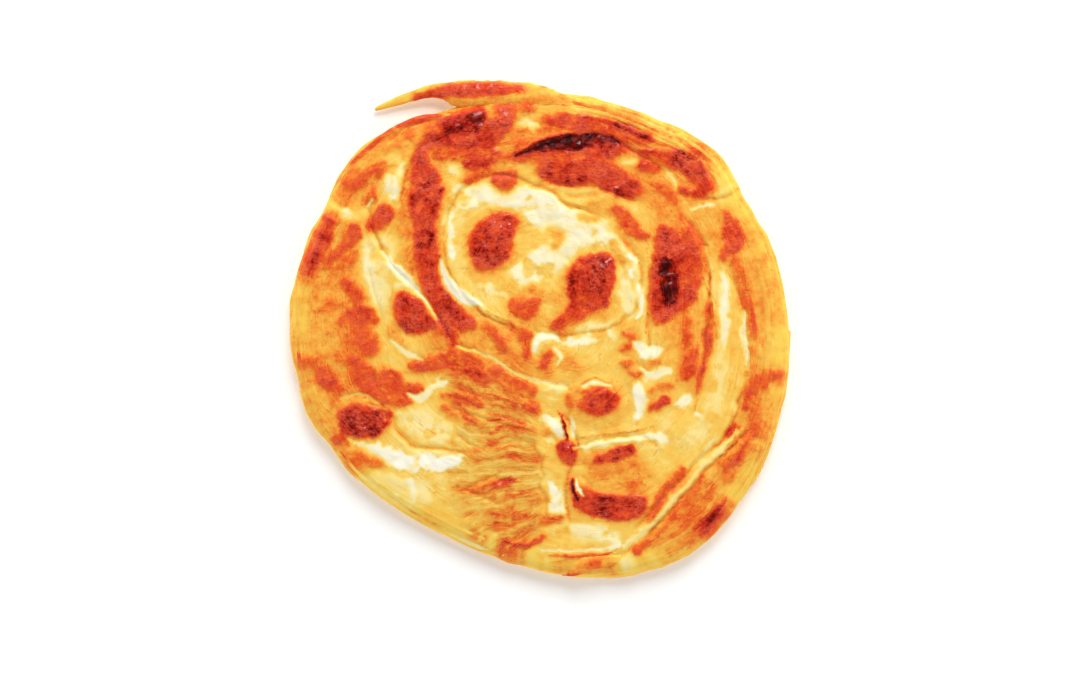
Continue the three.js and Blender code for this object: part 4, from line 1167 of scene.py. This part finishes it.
def strand_lines():
    """All the strands as plain lines of points, each with its half width and toasting."""
    points, edges, widths, tones = [], [], [], []
    for number, (start, end, inset, half_width, added) in enumerate(RIM_STRANDS):
        count = int(abs(end - start) * math.radians(90) / STRAND_STEP)
        angle = np.radians(np.linspace(start, end, count))
        lane = number * 31.0  # so that no two strands waver alike
        waver = 0.9 * rough(angle * 90, lane, 22, 801) + 0.25 * rough(angle * 90, lane, 5, 805)
        out = reach_at(angle) - inset + waver
        x, y = out * np.cos(angle), out * np.sin(angle)
        share = np.linspace(0, 1, count)
        taper = np.minimum(1, np.minimum(share, 1 - share) / END_TAPER) ** 0.5
        height = np.array([on_top(*place) for place in zip(x, y)])
        edges += [(len(points) + k, len(points) + k + 1) for k in range(count - 1)]
        points += list(zip(x, y, height - STRAND_SINK - END_SINK * (1 - taper)))
        widths += list(half_width * (0.15 + 0.85 * taper) * (1 + 0.3 * rough(angle * 90, lane, 9, 811)))
        tones += [added] * count
    x, y, _ = np.array(points).T
    values = {"half_width": np.array(widths) * MM, "toast_and_painted_light": np.array(tones) + toasting_and_painted_light(x, y)}
    return make_mesh("strands", points, [], values, edges)


def add_node(tree, kind, inputs=None, **settings):
    """A new node of a tree, set up."""
    return set_up(tree.nodes.new(kind), inputs or {}, settings, tree.links)


def new_tree(name, sizes):
    """A geometry node tree with a named input for each size, and its input node."""
    tree = bpy.data.node_groups.new(name, "GeometryNodeTree")
    tree.interface.new_socket("Geometry", in_out="INPUT", socket_type="NodeSocketGeometry")
    for label, (kind, _) in sizes.items():
        tree.interface.new_socket(label, in_out="INPUT", socket_type=kind)
    tree.interface.new_socket("Geometry", in_out="OUTPUT", socket_type="NodeSocketGeometry")
    return tree, tree.nodes.new("NodeGroupInput").outputs


def run_tree(thing, tree, sizes, made, material):
    """Ends a tree in what it made, gives that its material, and turns it into the object's own plain mesh."""
    whole = add_node(tree, "GeometryNodeRealizeInstances", {"Geometry": made})
    coated = add_node(tree, "GeometryNodeSetMaterial", {"Geometry": whole.outputs[0], "Material": material})
    add_node(tree, "NodeGroupOutput", {"Geometry": coated.outputs[0]})
    modifier = thing.modifiers.new(tree.name, "NODES")
    modifier.node_group = tree
    for item in tree.interface.items_tree:
        if item.in_out == "INPUT" and item.name in sizes:
            modifier[item.identifier] = sizes[item.name][1]
    done = bpy.data.meshes.new_from_object(thing.evaluated_get(bpy.context.evaluated_depsgraph_get()))
    thing.modifiers.clear()
    thing.data = done


STRAND_SIZES = {
    "Flatness": ("NodeSocketFloat", 0.36),
    "Sides": ("NodeSocketInt", 10),
    "Waver": ("NodeSocketFloat", 0.5 * MM),
    "Waver length": ("NodeSocketFloat", 2.6 * MM),
}
tree, given = new_tree("strands", STRAND_SIZES)
lines = add_node(tree, "GeometryNodeMeshToCurve", {"Mesh": given["Geometry"]})
upright = add_node(tree, "GeometryNodeSetCurveNormal", {"Curve": lines.outputs[0]}, mode="Z_UP")
half_width = add_node(tree, "GeometryNodeInputNamedAttribute", {"Name": "half_width"}, data_type="FLOAT")
ring = add_node(tree, "GeometryNodeCurvePrimitiveCircle", {"Resolution": given["Sides"], "Radius": 1.0})
squash = add_node(tree, "ShaderNodeCombineXYZ", {"X": 1.0, "Y": given["Flatness"], "Z": 1.0})
section = add_node(tree, "GeometryNodeTransform", {"Geometry": ring.outputs[0], "Scale": squash.outputs[0]})
tube = add_node(tree, "GeometryNodeCurveToMesh", {
    "Curve": upright.outputs[0],
    "Profile Curve": section.outputs[0],
    "Scale": half_width.outputs["Attribute"],
    "Fill Caps": True,
})
place = add_node(tree, "GeometryNodeInputPosition")
finer = add_node(tree, "ShaderNodeMath", {0: 1.0, 1: given["Waver length"]}, operation="DIVIDE")
wave_inputs = {"Vector": place.outputs[0], "Scale": finer.outputs[0], "Detail": 2.0}
wave = add_node(tree, "ShaderNodeTexNoise", wave_inputs)
centring = {0: wave.outputs["Color"], 1: (0.5, 0.5, 0.5)}
centred = add_node(tree, "ShaderNodeVectorMath", centring, operation="SUBTRACT")
pushing = {0: centred.outputs[0], "Scale": given["Waver"]}
push = add_node(tree, "ShaderNodeVectorMath", pushing, operation="SCALE")
wavy = add_node(tree, "GeometryNodeSetPosition", {"Geometry": tube.outputs[0], "Offset": push.outputs[0]})
smooth = add_node(tree, "GeometryNodeSetShadeSmooth", {"Geometry": wavy.outputs[0]})
strands = strand_lines()
run_tree(strands, tree, STRAND_SIZES, smooth.outputs[0], dough)
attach(strands, "root")

# ============================================================================
# The crumbs of char: burnt flour and flakes of crust that came off the pan and stuck to the oily top, most
# of them on the scorched margin at the left and in the strands of the fan.
# ============================================================================
CRUMB_COLOURS = [(0.35, (92, 26, 12)), (0.55, (150, 66, 24)), (0.7, (196, 118, 48))]
CRUMB_SIZES = {
    "Crumbs per square metre": ("NodeSocketFloat", 160000.0),
    "Smallest": ("NodeSocketFloat", 0.07 * MM),
    "Largest": ("NodeSocketFloat", 0.24 * MM),
    "Seed": ("NodeSocketInt", 12),
}
ANY_WAY_ROUND = (6.28, 6.28, 6.28)
tree, given = new_tree("char_crumbs", CRUMB_SIZES)


def random_three(inputs):
    """A random number for each of three directions, for each crumb."""
    inputs = {**inputs, "Seed": given["Seed"]}
    return add_node(tree, "FunctionNodeRandomValue", inputs, data_type="FLOAT_VECTOR").outputs[0]


def same_three(value):
    return add_node(tree, "ShaderNodeCombineXYZ", dict.fromkeys("XYZ", value)).outputs[0]


crumbly_here = add_node(tree, "GeometryNodeInputNamedAttribute", {"Name": "crumbs"}, data_type="FLOAT")
crowding = {0: crumbly_here.outputs["Attribute"], 1: given["Crumbs per square metre"]}
thick = add_node(tree, "ShaderNodeMath", crowding, operation="MULTIPLY")
spots = add_node(tree, "GeometryNodeDistributePointsOnFaces", {
    "Mesh": given["Geometry"],
    "Density": thick.outputs[0],
    "Seed": given["Seed"],
})
grain = add_node(tree, "GeometryNodeMeshIcoSphere", {"Radius": 1.0, "Subdivisions": 1})
laid = add_node(tree, "GeometryNodeInstanceOnPoints", {
    "Points": spots.outputs["Points"],
    "Instance": grain.outputs["Mesh"],
    "Rotation": random_three({"Max": ANY_WAY_ROUND}),
    "Scale": random_three({"Min": same_three(given["Smallest"]), "Max": same_three(given["Largest"])}),
})
char = Finish("charred_crumbs")
char_tone = char.noise(char.place(), 700, 2)
char.set_shader(
    Base_Color=char.ramp(char_tone, CRUMB_COLOURS),
    Roughness=char.between(char_tone, 0.3, 0.7, 0.4, 0.7),
)
crumbs = add_object("char_crumbs", bread.data.copy())
run_tree(crumbs, tree, CRUMB_SIZES, laid.outputs[0], char.material)
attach(crumbs, "root")

# ============================================================================
# The room: a plain white table and soft daylight from above and behind, as by a window with white walls.
# The table glows a little, though it is no lamp, which keeps the bread's shadow on it faint.
# ============================================================================
FLOOR_SIZE = 3.0
TABLE_GLOW = 0.16
WALL_LIGHT = 1.6
CEILING_LIGHT = 0.04
WALL_TOP, CEILING_FROM = 0.42, 0.75  # how steeply upward each is seen, 0 level and 1 straight up
WINDOW_PLACE = (0.25, 1.35, 1.3)
WINDOW_SIZE = 1.0
WINDOW_WATTS = 24
WHITE = (1, 1, 1, 1)

bpy.ops.mesh.primitive_plane_add(size=FLOOR_SIZE, location=(0, 0, 0))
floor = bpy.context.object
floor.name = "table"
table_finish = Finish("white_table")
table_finish.set_shader(
    Base_Color=(0.98, 0.98, 0.98, 1), Roughness=0.6, Emission_Color=WHITE, Emission_Strength=TABLE_GLOW
)
floor.data.materials.append(table_finish.material)

world = bpy.data.worlds.new("daylight")
world.use_nodes = True
sky = world.node_tree
upward = add_node(sky, "ShaderNodeSeparateXYZ", {0: sky.nodes.new("ShaderNodeTexCoord").outputs["Generated"]})
dim_above = add_node(sky, "ShaderNodeMapRange", {
    "Value": upward.outputs["Z"],
    "From Min": WALL_TOP,
    "From Max": CEILING_FROM,
    "To Min": WALL_LIGHT,
    "To Max": CEILING_LIGHT,
})
set_up(sky.nodes["Background"], {"Color": WHITE, "Strength": dim_above.outputs[0]}, {}, sky.links)
bpy.context.scene.world = world

window = bpy.data.lights.new("window", "AREA")
window.size = WINDOW_SIZE
window.energy = WINDOW_WATTS
lamp = add_object("window", window)
lamp.location = WINDOW_PLACE
lamp.rotation_euler = (-lamp.location).to_track_quat("-Z", "Y").to_euler()

bpy.context.scene.view_settings.view_transform = "Standard"
